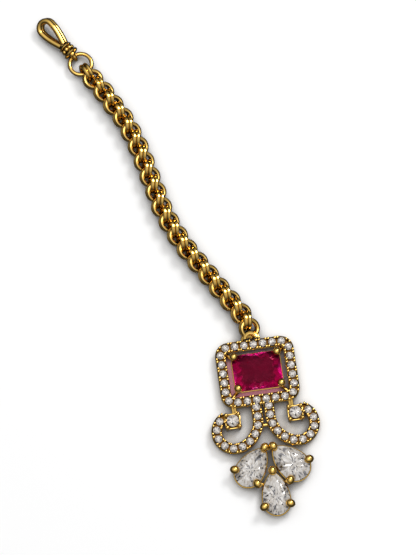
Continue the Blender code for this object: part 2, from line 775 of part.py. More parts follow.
def loop_path():
    """The hair loop's middle line: two legs that part from the neck and a round far end."""
    radius = (LOOP_WIDTH - LOOP_WIRE) / 2
    neck = LOOP_NECK_GAP / 2
    start = loop_start()
    centre = start + LOOP_LENGTH - LOOP_WIRE / 2 - radius
    lean = math.atan2(radius - neck, centre - start)
    arc = [math.pi / 2 + lean - (math.pi + 2 * lean) * step / 14 for step in range(15)]
    around = [Vector((centre + radius * math.cos(a), radius * math.sin(a))) for a in arc]
    return [Vector((start, neck)), *around, Vector((start, -neck))]


def hair_loop(shape, place):
    path = loop_path()
    section = double_section(LOOP_WIRE, LOOP_WIRE * 0.98)
    loops = []
    for index, point in enumerate(path):
        before = path[max(index - 1, 0)]
        after = path[min(index + 1, len(path) - 1)]
        heading = (after - before).normalized()
        across = Vector((-heading.y, heading.x))
        loops.append([place @ Vector((*(point + across * out), up)) for out, up in section])
    loft(shape, loops)


def collar_profile():
    """Radius and distance along the clip's axis."""
    rows = []
    position = COLLAR_START
    for diameter, length in (SMALL_FLANGE, BEAD_SECTION, LARGE_FLANGE, NECK):
        rows += [(diameter / 2, position), (diameter / 2, position + length)]
        position += length
    return rows


def collar_beads(shape, place):
    middle = COLLAR_START + SMALL_FLANGE[1] + BEAD_SECTION[1] / 2
    for index in range(COLLAR_BEADS):
        angle = 2 * math.pi * index / COLLAR_BEADS
        reach = BEAD_SECTION[0] / 2 + COLLAR_BEAD * 0.18
        spot = place @ Matrix.Translation((middle, reach * math.cos(angle), reach * math.sin(angle)))
        bmesh.ops.create_uvsphere(shape, u_segments=6, v_segments=4, radius=COLLAR_BEAD / 2, matrix=spot)


def clip(gold):
    flat = clip_place()
    loop_half = (LOOP_WIDTH / 2) * math.sin(abs(CLIP_ROLL)) + LOOP_WIRE * math.cos(CLIP_ROLL)
    axis_height = max(loop_half, LARGE_FLANGE[0] / 2)
    level = flat @ Matrix.Translation((0, 0, axis_height))
    rolled = level @ Matrix.Rotation(CLIP_ROLL, 4, "X")
    sideways = level @ Matrix.Rotation(math.pi / 2, 4, "Y")
    shape = bmesh.new()
    turned(shape, collar_profile(), sideways, 14)
    piece = put_in_scene("clip", shape, gold)
    parts = []
    loop = bmesh.new()
    hair_loop(loop, rolled)
    parts.append(helper("join_loop", loop))
    eye = bmesh.new()
    upright = flat @ Matrix.Translation((0, 0, JUMP_HEIGHT)) @ Matrix.Rotation(math.pi / 2, 4, "X")
    ring_of_wire(eye, upright, EYE_RADIUS, round_section(EYE_WIRE, 6), 12)
    parts.append(helper("join_eye", eye))
    beads = bmesh.new()
    collar_beads(beads, rolled)
    parts.append(helper("join_collar_beads", beads))
    boolean(piece, "UNION", parts)
    return piece


def stand_on_origin():
    """Moves the whole so that the middle of its box stands on the origin."""
    nodes = [piece for piece in bpy.data.objects if not piece.hide_render]
    bpy.context.view_layer.update()
    graph = bpy.context.evaluated_depsgraph_get()
    corners = []
    for node in nodes:
        shaped = node.evaluated_get(graph)
        corners += [shaped.matrix_world @ vertex.co for vertex in shaped.data.vertices]
    low = Vector([min(corner[axis] for corner in corners) for axis in range(3)])
    high = Vector([max(corner[axis] for corner in corners) for axis in range(3)])
    middle = (low + high) / 2
    whole = bpy.data.objects.new("maang_tikka", None)
    bpy.context.scene.collection.objects.link(whole)
    for piece in bpy.data.objects:
        if piece is not whole:
            piece.parent = whole
    whole.location = (-middle.x, -middle.y, -low.z)


def main():
    for leftover in list(bpy.data.objects):
        bpy.data.objects.remove(leftover)
    gold = material("polished_gold", (0.83, 0.58, 0.2), 0.15, 1.0)
    red = material("ruby_red", (0.55, 0.02, 0.13), 0.05, 0.0, 0.6)
    clear = material("clear_stone", (0.92, 0.93, 0.95), 0.03, 0.0, 0.7)
    clip(gold)
    jump_ring(gold)
    chain(gold)
    pendant_frame(gold)
    stones(red, clear)
    stand_on_origin()


main()
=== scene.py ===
"""Maang tikka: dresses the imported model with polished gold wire, bead-set stones, a faceted ruby
and clear pear drops, and sets up a pale floor, soft lights and the camera."""

import bisect
import math

import bmesh
import bpy
from bpy.props import FloatProperty, FloatVectorProperty, IntProperty, PointerProperty
from mathutils import Matrix, Vector


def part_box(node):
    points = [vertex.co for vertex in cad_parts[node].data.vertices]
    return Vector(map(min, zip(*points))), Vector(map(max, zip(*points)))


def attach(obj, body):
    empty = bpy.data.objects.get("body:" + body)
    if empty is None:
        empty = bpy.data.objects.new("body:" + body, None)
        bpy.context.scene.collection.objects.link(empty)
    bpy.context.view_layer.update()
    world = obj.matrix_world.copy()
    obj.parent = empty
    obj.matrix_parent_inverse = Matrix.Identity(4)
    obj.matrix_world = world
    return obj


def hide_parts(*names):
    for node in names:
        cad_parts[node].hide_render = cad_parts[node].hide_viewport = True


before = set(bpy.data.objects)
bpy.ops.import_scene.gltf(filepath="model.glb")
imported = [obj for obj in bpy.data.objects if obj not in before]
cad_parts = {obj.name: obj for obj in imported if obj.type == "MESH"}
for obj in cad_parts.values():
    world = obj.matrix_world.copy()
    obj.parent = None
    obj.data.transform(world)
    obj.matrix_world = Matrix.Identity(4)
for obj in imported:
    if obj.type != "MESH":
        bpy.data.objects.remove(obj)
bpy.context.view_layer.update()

bl_info = {
    "name": "Maang Tikka",
    "version": (1, 0, 0),
    "blender": (4, 5, 0),
    "location": "3D View > Sidebar > Tikka",
    "description": "Builds a hair jewel with a chain, a stone-set pendant and pear drops",
    "category": "Add Mesh",
}

MM = 0.001
QUARTER = math.pi / 2

# The middle line of the chain around the ruby's centre, from the hair loop to the pendant, in mm
CHAIN_ROUTE = (
    (-38.6, 69.7), (-35.6, 66.3), (-33.2, 62.9), (-30.9, 59.9), (-28.7, 56.1), (-26.5, 51.4),
    (-24.7, 46.6), (-22.9, 41.9), (-21.15, 37.2), (-18.7, 32.5), (-15.6, 27.8), (-11.8, 23.1),
    (-8.1, 18.5), (-4.3, 13.9), (-2.65, 11.6), (-1.72, 9.56),
)

# How the pairs of rings lie: share of the chain, spacing, roll about the chain and lean, in degrees
CHAIN_LAY = (
    (0.00, 1.10, 84, 10),
    (0.04, 1.04, 80, 16),
    (0.10, 1.00, 75, 20),
    (1.00, 1.00, 75, 20),
)

# How far the middle line lies over that of the CAD chain, whose rings are a little smaller
CHAIN_RISE = 0.3 * MM

# The corners of a band's section, from its flat back round its outer side: share of half the
# width, depth under the rails in mm, and how much of the dip beside a stone they follow
BAND_SECTION = (
    (-0.66, 2.6, 0.0), (0.66, 2.6, 0.0), (1.0, 0.9, 0.0), (1.0, 0.3, 0.5), (0.95, 0.07, 1.0),
    (0.85, 0.0, 1.0), (0.76, 0.07, 1.0), (0.7, 0.45, 0.3), (0.55, 0.75, 0.0),
    (-0.55, 0.75, 0.0), (-0.7, 0.45, 0.3), (-0.76, 0.07, 1.0), (-0.85, 0.0, 1.0),
    (-0.95, 0.07, 1.0), (-1.0, 0.3, 0.5), (-1.0, 0.9, 0.0),
)
# Which of them line the channel, how many rows of them run to a stone, and how deep the dip is
BAND_CHANNEL = range(7, 11)
BAND_ROWS = 10
SCALLOP_DEPTH = 0.3 * MM

# From a scroll's ends to the middles of its first and last stones
FIRST_STONE = 1.2 * MM
LAST_STONE = 1.8 * MM

# Setting beads: over the rails, along from the gap's middle, and across as a share of half the band
BEAD_RISE = 0.06 * MM
BEAD_SHIFT = 0.3 * MM
BEAD_SIDE = 0.74

# Square settings: the cup, whose foot and mouth are shares of its width, then its claws and walls
CUP_HEIGHT = 1.9 * MM
CUP_FOOT = 0.4
CUP_MOUTH = 0.62
CLAW_INSET = 0.45 * MM
CLAW_WIRE = 0.7 * MM
CLAW_TOP = 2.9 * MM
CLAW_BALL = 0.98 * MM
CLAW_BALL_HEIGHT = 2.95 * MM
WALL_INSET = 0.25 * MM
WALL_GAP = 0.9 * MM
WALL_THICKNESS = 0.34 * MM
WALL_HEIGHT = 0.8 * MM
WALL_MIDDLE = 2.0 * MM
WALL_ROUNDING = 0.1 * MM

# The two wires from the halo to a square setting: their shifts from its middle
POST_SHIFTS = (-0.9 * MM, -0.4 * MM)
POST_WIRE = 0.68 * MM
POST_HEIGHT = 1.9 * MM

# The bar across the slit between the stems, and the bar between the upper pears' tips
BRIDGE_DROP = 1.7 * MM
BRIDGE_REACH = 0.7 * MM
BRIDGE_HEIGHT = 1.6 * MM
BRIDGE_WIRE = 0.85 * MM
TIP_BAR_HEIGHT = 1.5 * MM
TIP_BAR_WIRE = 1.0 * MM

# How far the ends of a band and its posts run into the metal that they are soldered to
SOLDER = 0.4 * MM

# The bail's arches: radius, height and wire, in mm, and where their feet stand on the halo's edge
BAIL_ARCHES = ((1.8, 1.7, 0.8), (1.3, 2.9, 1.0))
BAIL_SHIFT = -0.4 * MM
BAIL_GAP = 0.05 * MM

# Pairs of solder balls: across, down from the ruby's centre, height and diameter, in mm
SOLDER_BALLS = ((1.2, 18.15, 2.9, 1.35), (2.75, 25.6, 2.3, 1.0))

# Prongs: their feet, the heights of their balls' middles, how much longer a pear's balls are
# towards the stone, and where the prongs stand against the stones' edges
PRONG_FOOT = 0.3 * MM
RUBY_BALL_HEIGHT = 4.1 * MM
PEAR_BALL_HEIGHT = 3.3 * MM
PEAR_BALL_STRETCH = 1.18
RUBY_PRONG_SHIFT = (0.05 * MM, 0.03 * MM)
PEAR_PRONG_TURN = math.radians(22)
PEAR_PRONG_GAP = 0.1 * MM

# The struts from the ruby's prongs to the halo's corners
STRUT_INSET = 0.6 * MM
STRUT_HEIGHT = 1.0 * MM
STRUT_WIRE = 0.8 * MM

# The rails round the ruby: share of its outline, height and wire, in mm
RUBY_RAILS = ((1.0, 2.55, 0.4), (0.86, 0.9, 0.5))

# A pear's rail outside its edge, and the wall inside it, whose section tapers down, in mm
PEAR_RAIL_GAP = 0.08 * MM
PEAR_RAIL_DROP = 0.35 * MM
PEAR_RAIL_WIRE = 0.42 * MM
PEAR_WALL_INSET = 0.25 * MM
PEAR_WALL = ((-0.3, 0), (-0.1, 0), (0.05, 2.1), (-0.2, 2.1))

# How wide each pear is against the nominal width
PEAR_SHARES = {"pear_left": 0.94, "pear_right": 1.0, "pear_bottom": 0.92}

# Along the clip from the jump ring's wire: the eye, the knob, the collar's beads and the loop
EYE_RADIUS = 0.95 * MM
EYE_WIRE = 0.9 * MM
EYE_HEIGHT = 1.5 * MM
KNOB = 1.6 * MM
KNOB_SPOT = (0.3 * MM, 0, 0.1 * MM)
COLLAR_BEADS = 7
COLLAR_BEAD = 1.15 * MM
COLLAR_BEAD_SPOT = (1.75 * MM, 1.08 * MM, 0)
LOOP_START = 3.37 * MM
LOOP_NECK = 0.5 * MM

# How far the loop's wires lie from its middle plane, as a share of their thickness
LOOP_SPREAD = 0.43

# The collar's two flanges and the waist between them: along the clip and out from its axis, in mm
COLLAR = (
    (0.4, 0.0), (0.4, 1.4), (0.5, 1.7), (0.7, 1.82), (0.9, 1.7), (1.02, 1.4), (1.15, 0.95),
    (2.3, 0.95), (2.38, 1.3), (2.47, 1.5), (2.65, 1.6), (2.83, 1.5), (2.92, 1.25), (3.1, 1.1),
    (3.5, 1.05), (3.7, 0.9), (3.75, 0.0),
)

# Scales of the patterns: cloudy polish, rub marks, the channel shade, the floor's board and the
# ruby's depths
POLISH_SCALE = 700.0
RUB_SCALE = 5200.0
CHANNEL_SHADE_SCALE = 1500.0
BOARD_SCALE = 40.0
RUBY_SCALE = 260.0

# Painted shade in hollows: its reach, and the shares of open air where it is darkest and where it
# ends
GOLD_HOLLOW_SHADE = (0.0011, 0.26, 0.67)
FLOOR_HOLLOW_SHADE = (0.006, 0.2, 0.66)

# The map that a stone's shards are drawn on: across and up from -1 to 1 between its edges
STONE_MAP = "stone_map"

# Painted reflections of the shards: where each tone starts on the scale of chance, and its colour
CLEAR_SPARKLE = (
    (0.0, (0.03, 0.028, 0.025)), (0.15, (0.13, 0.13, 0.14)), (0.24, (0.34, 0.34, 0.37)),
    (0.33, (0.62, 0.57, 0.5)), (0.42, (0.86, 0.84, 0.81)), (0.58, (0.97, 0.96, 0.95)),
    (0.72, (0.74, 0.68, 0.61)), (0.8, (0.98, 0.98, 0.98)),
)
# The ruby's border of painted reflections, and its table: the stone's own red, painted dark as
# shade
RUBY_BORDER_SPARKLE = (
    (0.0, (0.06, 0.004, 0.02)), (0.3, (0.25, 0.01, 0.07)), (0.5, (0.55, 0.01, 0.13)),
    (0.68, (0.9, 0.0, 0.22)), (0.88, (1.0, 0.02, 0.32)), (1.0, (1.0, 0.35, 0.55)),
)
RUBY_TABLE = ((0.0, (0.14, 0.004, 0.03)), (0.5, (0.22, 0.006, 0.045)), (1.0, (0.36, 0.008, 0.08)))

# Brightness of the surroundings, from straight below through the horizon at 0.5 to overhead
STUDIO = (
    (0.0, 0.1), (0.32, 0.07), (0.46, 0.03), (0.56, 0.04), (0.66, 0.11), (0.75, 0.31), (0.85, 0.56),
    (0.93, 0.8), (0.97, 1.1), (0.985, 1.4), (0.992, 3.0), (1.0, 3.2),
)

# The lamps: name, spot and width in metres, power in watts, and whether the metal mirrors them
LAMPS = (
    ("key_light", (0.28, 0.32, 0.55), 0.2, 1.7, True),
    ("overhead_light", (-0.03, 0.03, 0.75), 0.9, 1.6, False),
)

# The lamp for the ruby's glow on the floor, from the point under the ruby's centre
GLOW_SPOT = Vector((-0.9, -0.7, 0.6)) * MM
GLOW_WIDTH = 11.5 * MM
GLOW_LENGTH = 8.8 * MM
GLOW_POWER = 0.00038

# The camera: its spot in mm from the point under the CAD ruby's centre, its lean from straight
# down and how many mm off it stands; the photograph's height in pixels and its scale in mm a
# pixel; and the height of the sensor in mm
CAMERA_SPOT = (-10.90, -133.36, 579.56)
CAMERA_LEAN = math.radians(15)
CAMERA_DISTANCE = 600.0
PHOTO_HEIGHT = 555
PHOTO_SCALE = 0.225
SENSOR = 24.0

# Rings of corners of a round stone: count, turn in steps, share of the radius, share of the crown
# above the girdle or of the pavilion under it
ROUND_CUT = (
    (8, 0.0, 0.55, 1.0), (8, 0.5, 0.79, 0.62), (16, 0.0, 1.0, 0.1), (16, 0.0, 1.0, -0.05),
    (8, 0.5, 0.3, -0.74), (1, 0.0, 0.0, -1.0),
)
# How many corners a pear's table has, and the pear's rings in the same terms
PEAR_POINTS = 11
PEAR_CUT = (
    (11, 0.0, 0.54, 1.0), (11, 0.5, 0.68, 0.86), (22, 0.25, 0.84, 0.5), (44, 0.0, 1.0, 0.08),
    (44, 0.0, 1.0, -0.05), (22, 0.25, 0.78, -0.36), (11, 0.5, 0.36, -0.76), (1, 0.0, 0.0, -1.0),
)

# The ruby's eight-cornered steps: shares of its half width, half length and crown or pavilion
RUBY_STEPS = ((0.68, 0.64, 1.0), (0.86, 0.83, 0.66), (1.0, 1.0, 0.12), (1.0, 1.0, -0.03))
# The rings of corners under them: count, turn in steps, and the same three shares
RUBY_RINGS = ((18, 0.5, 0.83, 0.8, -0.42), (12, 0.0, 0.5, 0.42, -0.82))
# The keel that closes the ruby below, as a share of its half width
RUBY_KEEL = 0.16

# Depths of the crowns and pavilions
SMALL_DEPTHS = (0.38 * MM, 0.6 * MM)
SIDE_DEPTHS = (0.5 * MM, 1.2 * MM)
PEAR_DEPTHS = (0.85 * MM, 2.1 * MM)
RUBY_DEPTHS = (0.85 * MM, 2.3 * MM)

# Where the girdles of the small and the side stones lie: under the rails, and over the surface
SMALL_SUNK = 0.12 * MM
SIDE_GIRDLE = 2.9 * MM
# From the middle of a pear's round end to the point that its facets turn about
PEAR_MIDDLE = 0.9 * MM


def size(name, description, millimetres):
    """A length that a user may change, in millimetres here and in metres in the scene."""
    return FloatProperty(
        name=name, description=description, default=millimetres * MM, min=0.0, unit="LENGTH"
    )


def turn(name, description, degrees):
    """An angle that a user may change."""
    return FloatProperty(
        name=name, description=description, default=math.radians(degrees), subtype="ANGLE"
    )


def colour(name, description, value):
    """A colour that a user may change."""
    return FloatVectorProperty(
        name=name, description=description, default=value, size=3, min=0.0, max=1.0, subtype="COLOR"
    )


def moved(across=0.0, along=0.0, up=0.0):
    """A place that is shifted from the one that it is joined to."""
    return Matrix.Translation((across, along, up))


def rotated(angle, axis="Z"):
    """A place that is turned from the one that it is joined to."""
    return Matrix.Rotation(angle, 4, axis)


def on_circle(angle):
    """The spot at an angle on a circle with a radius of 1."""
    return Vector((math.cos(angle), math.sin(angle)))


class PendantSizes(bpy.types.PropertyGroup):
    """Sizes of the halo, the scrolls and their stones"""

    lie: turn("Lie", "How far the pendant is turned on the surface", 8.1)
    head_drop: size("Head drop", "How far the halo and the ruby sit down from their middle", 0.35)
    halo_width: size("Halo width", "Across the middle line of the halo's band", 15.3)
    halo_length: size("Halo length", "Along the middle line of the halo's band", 12.6)
    halo_corner: size("Halo corner", "Radius of the middle line at the corners", 1.9)
    halo_stones: IntProperty(name="Halo stones", description="Round the halo", default=25, min=8)
    band_width: size("Band width", "Across the two rails of a stone-set band", 2.35)
    band_height: size("Band height", "From the surface to the top of the rails", 2.6)
    pave_diameter: size("Small stones", "Diameter of the bead-set stones", 1.66)
    bead_diameter: size("Setting beads", "Diameter of the beads that hold the small stones", 0.56)
    stem_offset: size("Stem offset", "From the middle to the middle of a scroll's stem", 1.4)
    stem_length: size("Stem length", "Straight part of a scroll under the halo", 3.2)
    sweep_radius: size("Sweep radius", "Radius of a scroll's wide arc", 6.3)
    sweep_turn: turn("Sweep turn", "How far the wide arc turns", 74.2)
    volute_radius: size("Volute radius", "Radius of a scroll's tight arc", 3.85)
    volute_turn: turn("Volute turn", "How far the tight arc turns", 175)
    scroll_stones: IntProperty(name="Scroll stones", description="On a scroll", default=11, min=3)
    setting_width: size("Square setting", "Width of the square settings", 3.65)
    setting_offset: size("Setting offset", "From the middle to a square setting", 7.0)
    setting_drop: size("Setting drop", "From the halo down to a square setting's middle", 3.2)
    side_stone: size("Side stones", "Diameter of the larger round stones", 2.7)


class DropSizes(bpy.types.PropertyGroup):
    """Sizes of the ruby, the pear drops and their prongs"""

    ruby_width: size("Ruby width", "Across the ruby", 10.8)
    ruby_length: size("Ruby length", "Along the ruby", 8.3)
    ruby_corner: size("Ruby corner", "How much is cut from each corner", 1.2)
    ruby_girdle: size("Ruby height", "From the surface to the ruby's girdle", 2.95)
    pear_width: size("Pear width", "Across a pear stone", 6.5)
    pear_length: size("Pear length", "From round end to tip", 9.8)
    pear_girdle: size("Pear height", "From the surface to a pear's girdle", 2.7)
    pear_tilt: turn("Pear tilt", "How far the upper pears lean out", 40)
    pear_tip_offset: size("Tip offset", "From the middle to an upper pear's tip", 0.95)
    pear_tip_drop: size("Tip drop", "From the ruby's centre to the upper tips", 17.65)
    last_tip_drop: size("Last tip drop", "From the ruby's centre to the lowest pear's tip", 23.05)
    ball: size("Prong balls", "Diameter of the balls on the prongs", 1.85)
    prong_wire: size("Prong wire", "Thickness of the prongs", 0.9)
    prong_inset: size("Prong inset", "From the ruby's sides in to its prongs", 0.52)


class ChainSizes(bpy.types.PropertyGroup):
    """Sizes of the chain, the jump ring and the hair loop"""

    ring_diameter: size("Chain ring", "Outer diameter of a ring of the chain", 4.75)
    ring_wire: size("Chain wire", "Thickness of the chain's wire", 0.92)
    pair_spacing: size("Pair spacing", "Between the two rings of a pair", 0.9)
    pairs: IntProperty(name="Pairs", description="Pairs of rings in the chain", default=38, min=3)
    jump_diameter: size("Jump ring", "Outer diameter of the jump ring", 6.0)
    jump_wire: size("Jump ring wire", "Thickness of the jump ring's wire", 0.95)
    loop_length: size("Loop length", "Length of the hair loop from its neck", 7.95)
    loop_width: size("Loop width", "Width of the hair loop", 4.7)
    loop_wire: size("Loop wire", "Thickness of each of the loop's two wires", 1.3)
    clip_turn: turn("Clip turn", "Which way the hair loop points", 132.8)
    clip_roll: turn("Clip roll", "How far the loop is rolled on its side", -35)


class Finishes(bpy.types.PropertyGroup):
    """Colours of the metal and the stones"""

    gold: colour("Gold", "Polished gold where it is clean", (0.95, 0.61, 0.158))
    # The painted shade colour, for the gold in hollows and channels where shade falls
    shade_gold: colour("Shade gold", "Gold in the hollows", (0.34, 0.15, 0.022))
    ruby: colour("Ruby", "Tint over the red stone", (1.0, 1.0, 1.0))
    clear: colour("Clear stones", "Tint over the clear stones", (0.9, 0.865, 0.83))
    floor: colour("Floor", "The pale floor", (0.9, 0.9, 0.9))


class Sum:
    """A shader socket that adds Math nodes when it is used in an expression."""

    def __init__(self, tree, socket):
        self.tree = tree
        self.socket = socket

    def maths(self, operation, first, second):
        """A Math node on two sockets or numbers."""
        values = [value.socket if isinstance(value, Sum) else value for value in (first, second)]
        inputs = dict(enumerate(values))
        return self.tree.node("ShaderNodeMath", {"operation": operation}, inputs)

    def __add__(self, other):
        return self.maths("ADD", self, other)

    __radd__ = __add__

    def __sub__(self, other):
        return self.maths("SUBTRACT", self, other)

    def __rsub__(self, other):
        return self.maths("SUBTRACT", other, self)

    def __mul__(self, other):
        return self.maths("MULTIPLY", self, other)

    __rmul__ = __mul__

    def __pow__(self, other):
        return self.maths("POWER", self, other)

    def __floordiv__(self, other):
        return self.maths("FLOOR", self.maths("DIVIDE", self, other), 0.0)

    def __gt__(self, other):
        return self.maths("GREATER_THAN", self, other)

    def fold(self):
        """A zigzag from 0 to 1 and back over each whole step."""
        return self.maths("PINGPONG", self, 0.5) * 2


class Tree:
    """The node tree of a material or a world, with one method that makes any node."""

    def __init__(self, owner, shader="Principled BSDF"):
        self.owner = owner
        owner.use_nodes = True
        self.nodes = owner.node_tree.nodes
        self.links = owner.node_tree.links
        self.shader = self.nodes[shader]

    def node(self, kind, settings=None, inputs=None, output=0):
        """Makes a node from its type, its settings and its sockets' values or links."""
        made = self.nodes.new(kind)
        for name, value in (settings or {}).items():
            if name in ("stops", "steps"):
                self.set_stops(made.color_ramp, value)
                made.color_ramp.interpolation = "CONSTANT" if name == "steps" else "LINEAR"
            else:
                setattr(made, name, value)
        for name, value in (inputs or {}).items():
            self.feed(made.inputs[name], value)
        return Sum(self, made.outputs[output])

    def set_stops(self, ramp, stops):
        while len(ramp.elements) < len(stops):
            ramp.elements.new(1.0)
        for element, (position, value) in zip(ramp.elements, stops):
            element.position = position
            element.color = (*value, 1.0)

    def feed(self, socket, value):
        """Links a value to a socket, or sets it there where it is a plain one."""
        if isinstance(value, Sum):
            value = value.socket
        if isinstance(value, bpy.types.NodeSocket):
            self.links.new(value, socket)
        else:
            socket.default_value = value

    def shade(self, **inputs):
        """Sets or links the shader's sockets, named with underscores for spaces."""
        for name, value in inputs.items():
            title = name.replace("_", " ").title().replace("Ior", "IOR")
            self.feed(self.shader.inputs[title], value)
        return self.owner

    def object_point(self):
        return self.node("ShaderNodeTexCoord", output="Object")

    def noise(self, scale, detail=3.0):
        inputs = {"Vector": self.object_point(), "Scale": scale, "Detail": detail}
        return self.node("ShaderNodeTexNoise", None, inputs, output="Fac")

    def mix(self, share, first, second):
        return self.node("ShaderNodeMix", {"data_type": "RGBA"}, {0: share, 6: first, 7: second}, 2)

    def vector(self, operation, first, **inputs):
        return self.node("ShaderNodeVectorMath", {"operation": operation}, {0: first, **inputs})

    def ramp(self, share, kind, stops):
        return self.node("ShaderNodeValToRGB", {kind: stops}, {0: share})


def flat(value, part=1.0):
    """A colour at part of its strength, with full alpha."""
    return (*(channel * part for channel in value), 1.0)


def finish(make):
    """Makes a finish once and hands it out again to each piece that asks for it."""

    def made(finishes):
        if make.__name__ not in bpy.data.materials:
            make(Tree(bpy.data.materials.new(make.__name__)), finishes)
        return bpy.data.materials[make.__name__]

    return made


def openness(tree, reach, low, high):
    """0 in hollows and 1 in the open, judged by what stands within reach: the mask for painted
    shade.
    """
    air = tree.node("ShaderNodeAmbientOcclusion", {"samples": 8}, {"Distance": reach}, output="AO")
    return tree.ramp(air, "stops", ((low, (0, 0, 0)), (high, (1, 1, 1))))


@finish
def bright_gold(tree, finishes):
    """Polished gold with faint uneven polish and fine rub marks, painted near black in its hollows
    as shade.
    """
    cloud = tree.noise(POLISH_SCALE)
    grain = tree.noise(RUB_SCALE, 2.0)
    clean = tree.mix(cloud, flat(finishes.gold), flat(finishes.gold, 0.8))
    # Painted shade: the gold darkens to a near black brown in hollows, where shade falls
    base = tree.mix(openness(tree, *GOLD_HOLLOW_SHADE), flat(finishes.shade_gold, 0.15), clean)
    marks = {"Strength": 0.05, "Distance": 0.02 * MM, "Height": grain}
    bump = tree.node("ShaderNodeBump", None, marks)
    tree.shade(base_color=base, metallic=1.0, roughness=0.05 + cloud * 0.1, normal=bump)


@finish
def channel_shade_gold(tree, finishes):
    """Darker, duller gold painted as the shade in the band's channels and on the cups' walls."""
    cloud = tree.noise(CHANNEL_SHADE_SCALE)
    base = tree.mix(cloud, flat(finishes.shade_gold, 0.6), flat(finishes.shade_gold, 0.25))
    tree.shade(base_color=base, metallic=1.0, roughness=0.3 + cloud * 0.2)


@finish
def pale_floor(tree, finishes):
    """Matt white board, very slightly uneven, with painted shadow where the piece closes it in."""
    board = tree.mix(tree.noise(BOARD_SCALE), flat(finishes.floor), flat(finishes.floor, 0.995))
    # Painted shadow: the floor darkens towards a fifth of its colour in hollows in and under the
    # piece
    base = tree.mix(openness(tree, *FLOOR_HOLLOW_SHADE), flat(finishes.floor, 0.2), board)
    tree.shade(base_color=base, roughness=0.9)


def stone_axes(tree):
    """Across and up on a stone's own map, from -1 to 1 between its edges."""
    point = tree.node("ShaderNodeUVMap", {"uv_map": STONE_MAP})
    axes = {"Vector": point}
    return [tree.node("ShaderNodeSeparateXYZ", None, axes, output=axis) for axis in "XY"]


def shards(tree, wedges, rings, lean, seed):
    """A spot for each shard of light in a stone: kites in rings around its middle."""
    across, up = stone_axes(tree)
    reach = (across * across + up * up) ** 0.5
    turned = across.maths("ARCTAN2", up, across) * (wedges / math.tau)
    ring = (reach + turned.fold() * lean) // (1 / rings)
    return tree.node("ShaderNodeCombineXYZ", None, {"X": turned // 0.5, "Y": ring, "Z": seed})


def chance(tree, spot, output="Value"):
    """A random value, or a random colour, for each spot."""
    return tree.node("ShaderNodeTexWhiteNoise", None, {"Vector": spot}, output=output)


def tilted(tree, spot, amount):
    """The surface's normal, tipped a little in another direction for each shard."""
    sway = tree.vector("SUBTRACT", chance(tree, spot, "Color"), **{"Vector_001": (0.5, 0.5, 0.5)})
    sway = tree.vector("SCALE", sway, Scale=amount)
    face = tree.node("ShaderNodeNewGeometry", output="Normal")
    return tree.vector("NORMALIZE", tree.vector("ADD", face, **{"Vector_001": sway}))


def splinters(tree, scale):
    """A random value for each of the small crooked cells between the shards."""
    point = tree.node("ShaderNodeUVMap", {"uv_map": STONE_MAP})
    inputs = {"Vector": point, "Scale": scale}
    cells = tree.node(
        "ShaderNodeTexVoronoi", {"voronoi_dimensions": "2D"}, inputs, output="Color"
    )
    return tree.node("ShaderNodeSeparateColor", None, {"Color": cells}, output="Red")


def clear_sparkle(tree, finishes, wedges, rings, lean, scale, strength):
    """White, grey, beige and dark shards of painted reflection under a clear polished surface."""
    spot = shards(tree, wedges, rings, lean, 1.0)
    tone = chance(tree, spot) * 0.5 + splinters(tree, scale) * 0.5
    body = [value * strength for value in finishes.clear]
    base = tree.ramp(tone, "steps", [
        (share, tuple(value * part for value, part in zip(body, tint)))
        for share, tint in CLEAR_SPARKLE
    ])
    tree.shade(
        base_color=base, roughness=0.03, ior=1.9, transmission_weight=0.2,
        normal=tilted(tree, spot, 0.45),
    )


@finish
def drop_sparkle(tree, finishes):
    """The pear drops' fine shards of painted reflection."""
    clear_sparkle(tree, finishes, 9, 4.2, 0.5, 9.5, 0.78)


@finish
def round_sparkle(tree, finishes):
    """The round stones' eight-fold shards of painted reflection."""
    clear_sparkle(tree, finishes, 8, 2.4, 0.25, 2.2, 1.0)


@finish
def ruby_sparkle(tree, finishes):
    """A dark red table inside a jagged border of bright and dark shards of painted reflection."""
    across, up = stone_axes(tree)
    wide, tall = across.maths("ABSOLUTE", across, 0.0), up.maths("ABSOLUTE", up, 0.0)
    reach = wide.maths("MAXIMUM", wide, tall)
    on_side = wide > tall
    along = on_side * up + (1 - on_side) * across
    teeth = (along * 2.6).fold()
    ring = (reach + teeth * 0.26) // 0.13
    side = on_side * 7 + (across > 0) * 3 + (up > 0) * 5
    spot = tree.node("ShaderNodeCombineXYZ", None, {"X": along // 0.192, "Y": ring, "Z": side})
    # Painted light: the border's shards grow lighter towards the bottom of the stone
    tone = chance(tree, spot) * 0.56 + (0.5 - up * 0.5) * 0.44
    border = tree.ramp(tone, "stops", RUBY_BORDER_SPARKLE)
    depth = tree.noise(RUBY_SCALE) * 0.5 + chance(tree, shards(tree, 9, 3.0, 0.4, 2.0)) * 0.5
    table = tree.ramp(depth, "stops", RUBY_TABLE)
    base = tree.mix((reach + teeth * 0.1) > 0.72, table, border)
    tint = {0: 1.0, 6: base, 7: flat(finishes.ruby)}
    tinted = tree.node(
        "ShaderNodeMix", {"data_type": "RGBA", "blend_type": "MULTIPLY"}, tint, 2
    )
    tree.shade(
        base_color=tinted, roughness=0.03, ior=1.35, specular_tint=(1.0, 0.1, 0.25, 1.0),
        transmission_weight=0.9, normal=tilted(tree, spot, 0.03),
    )


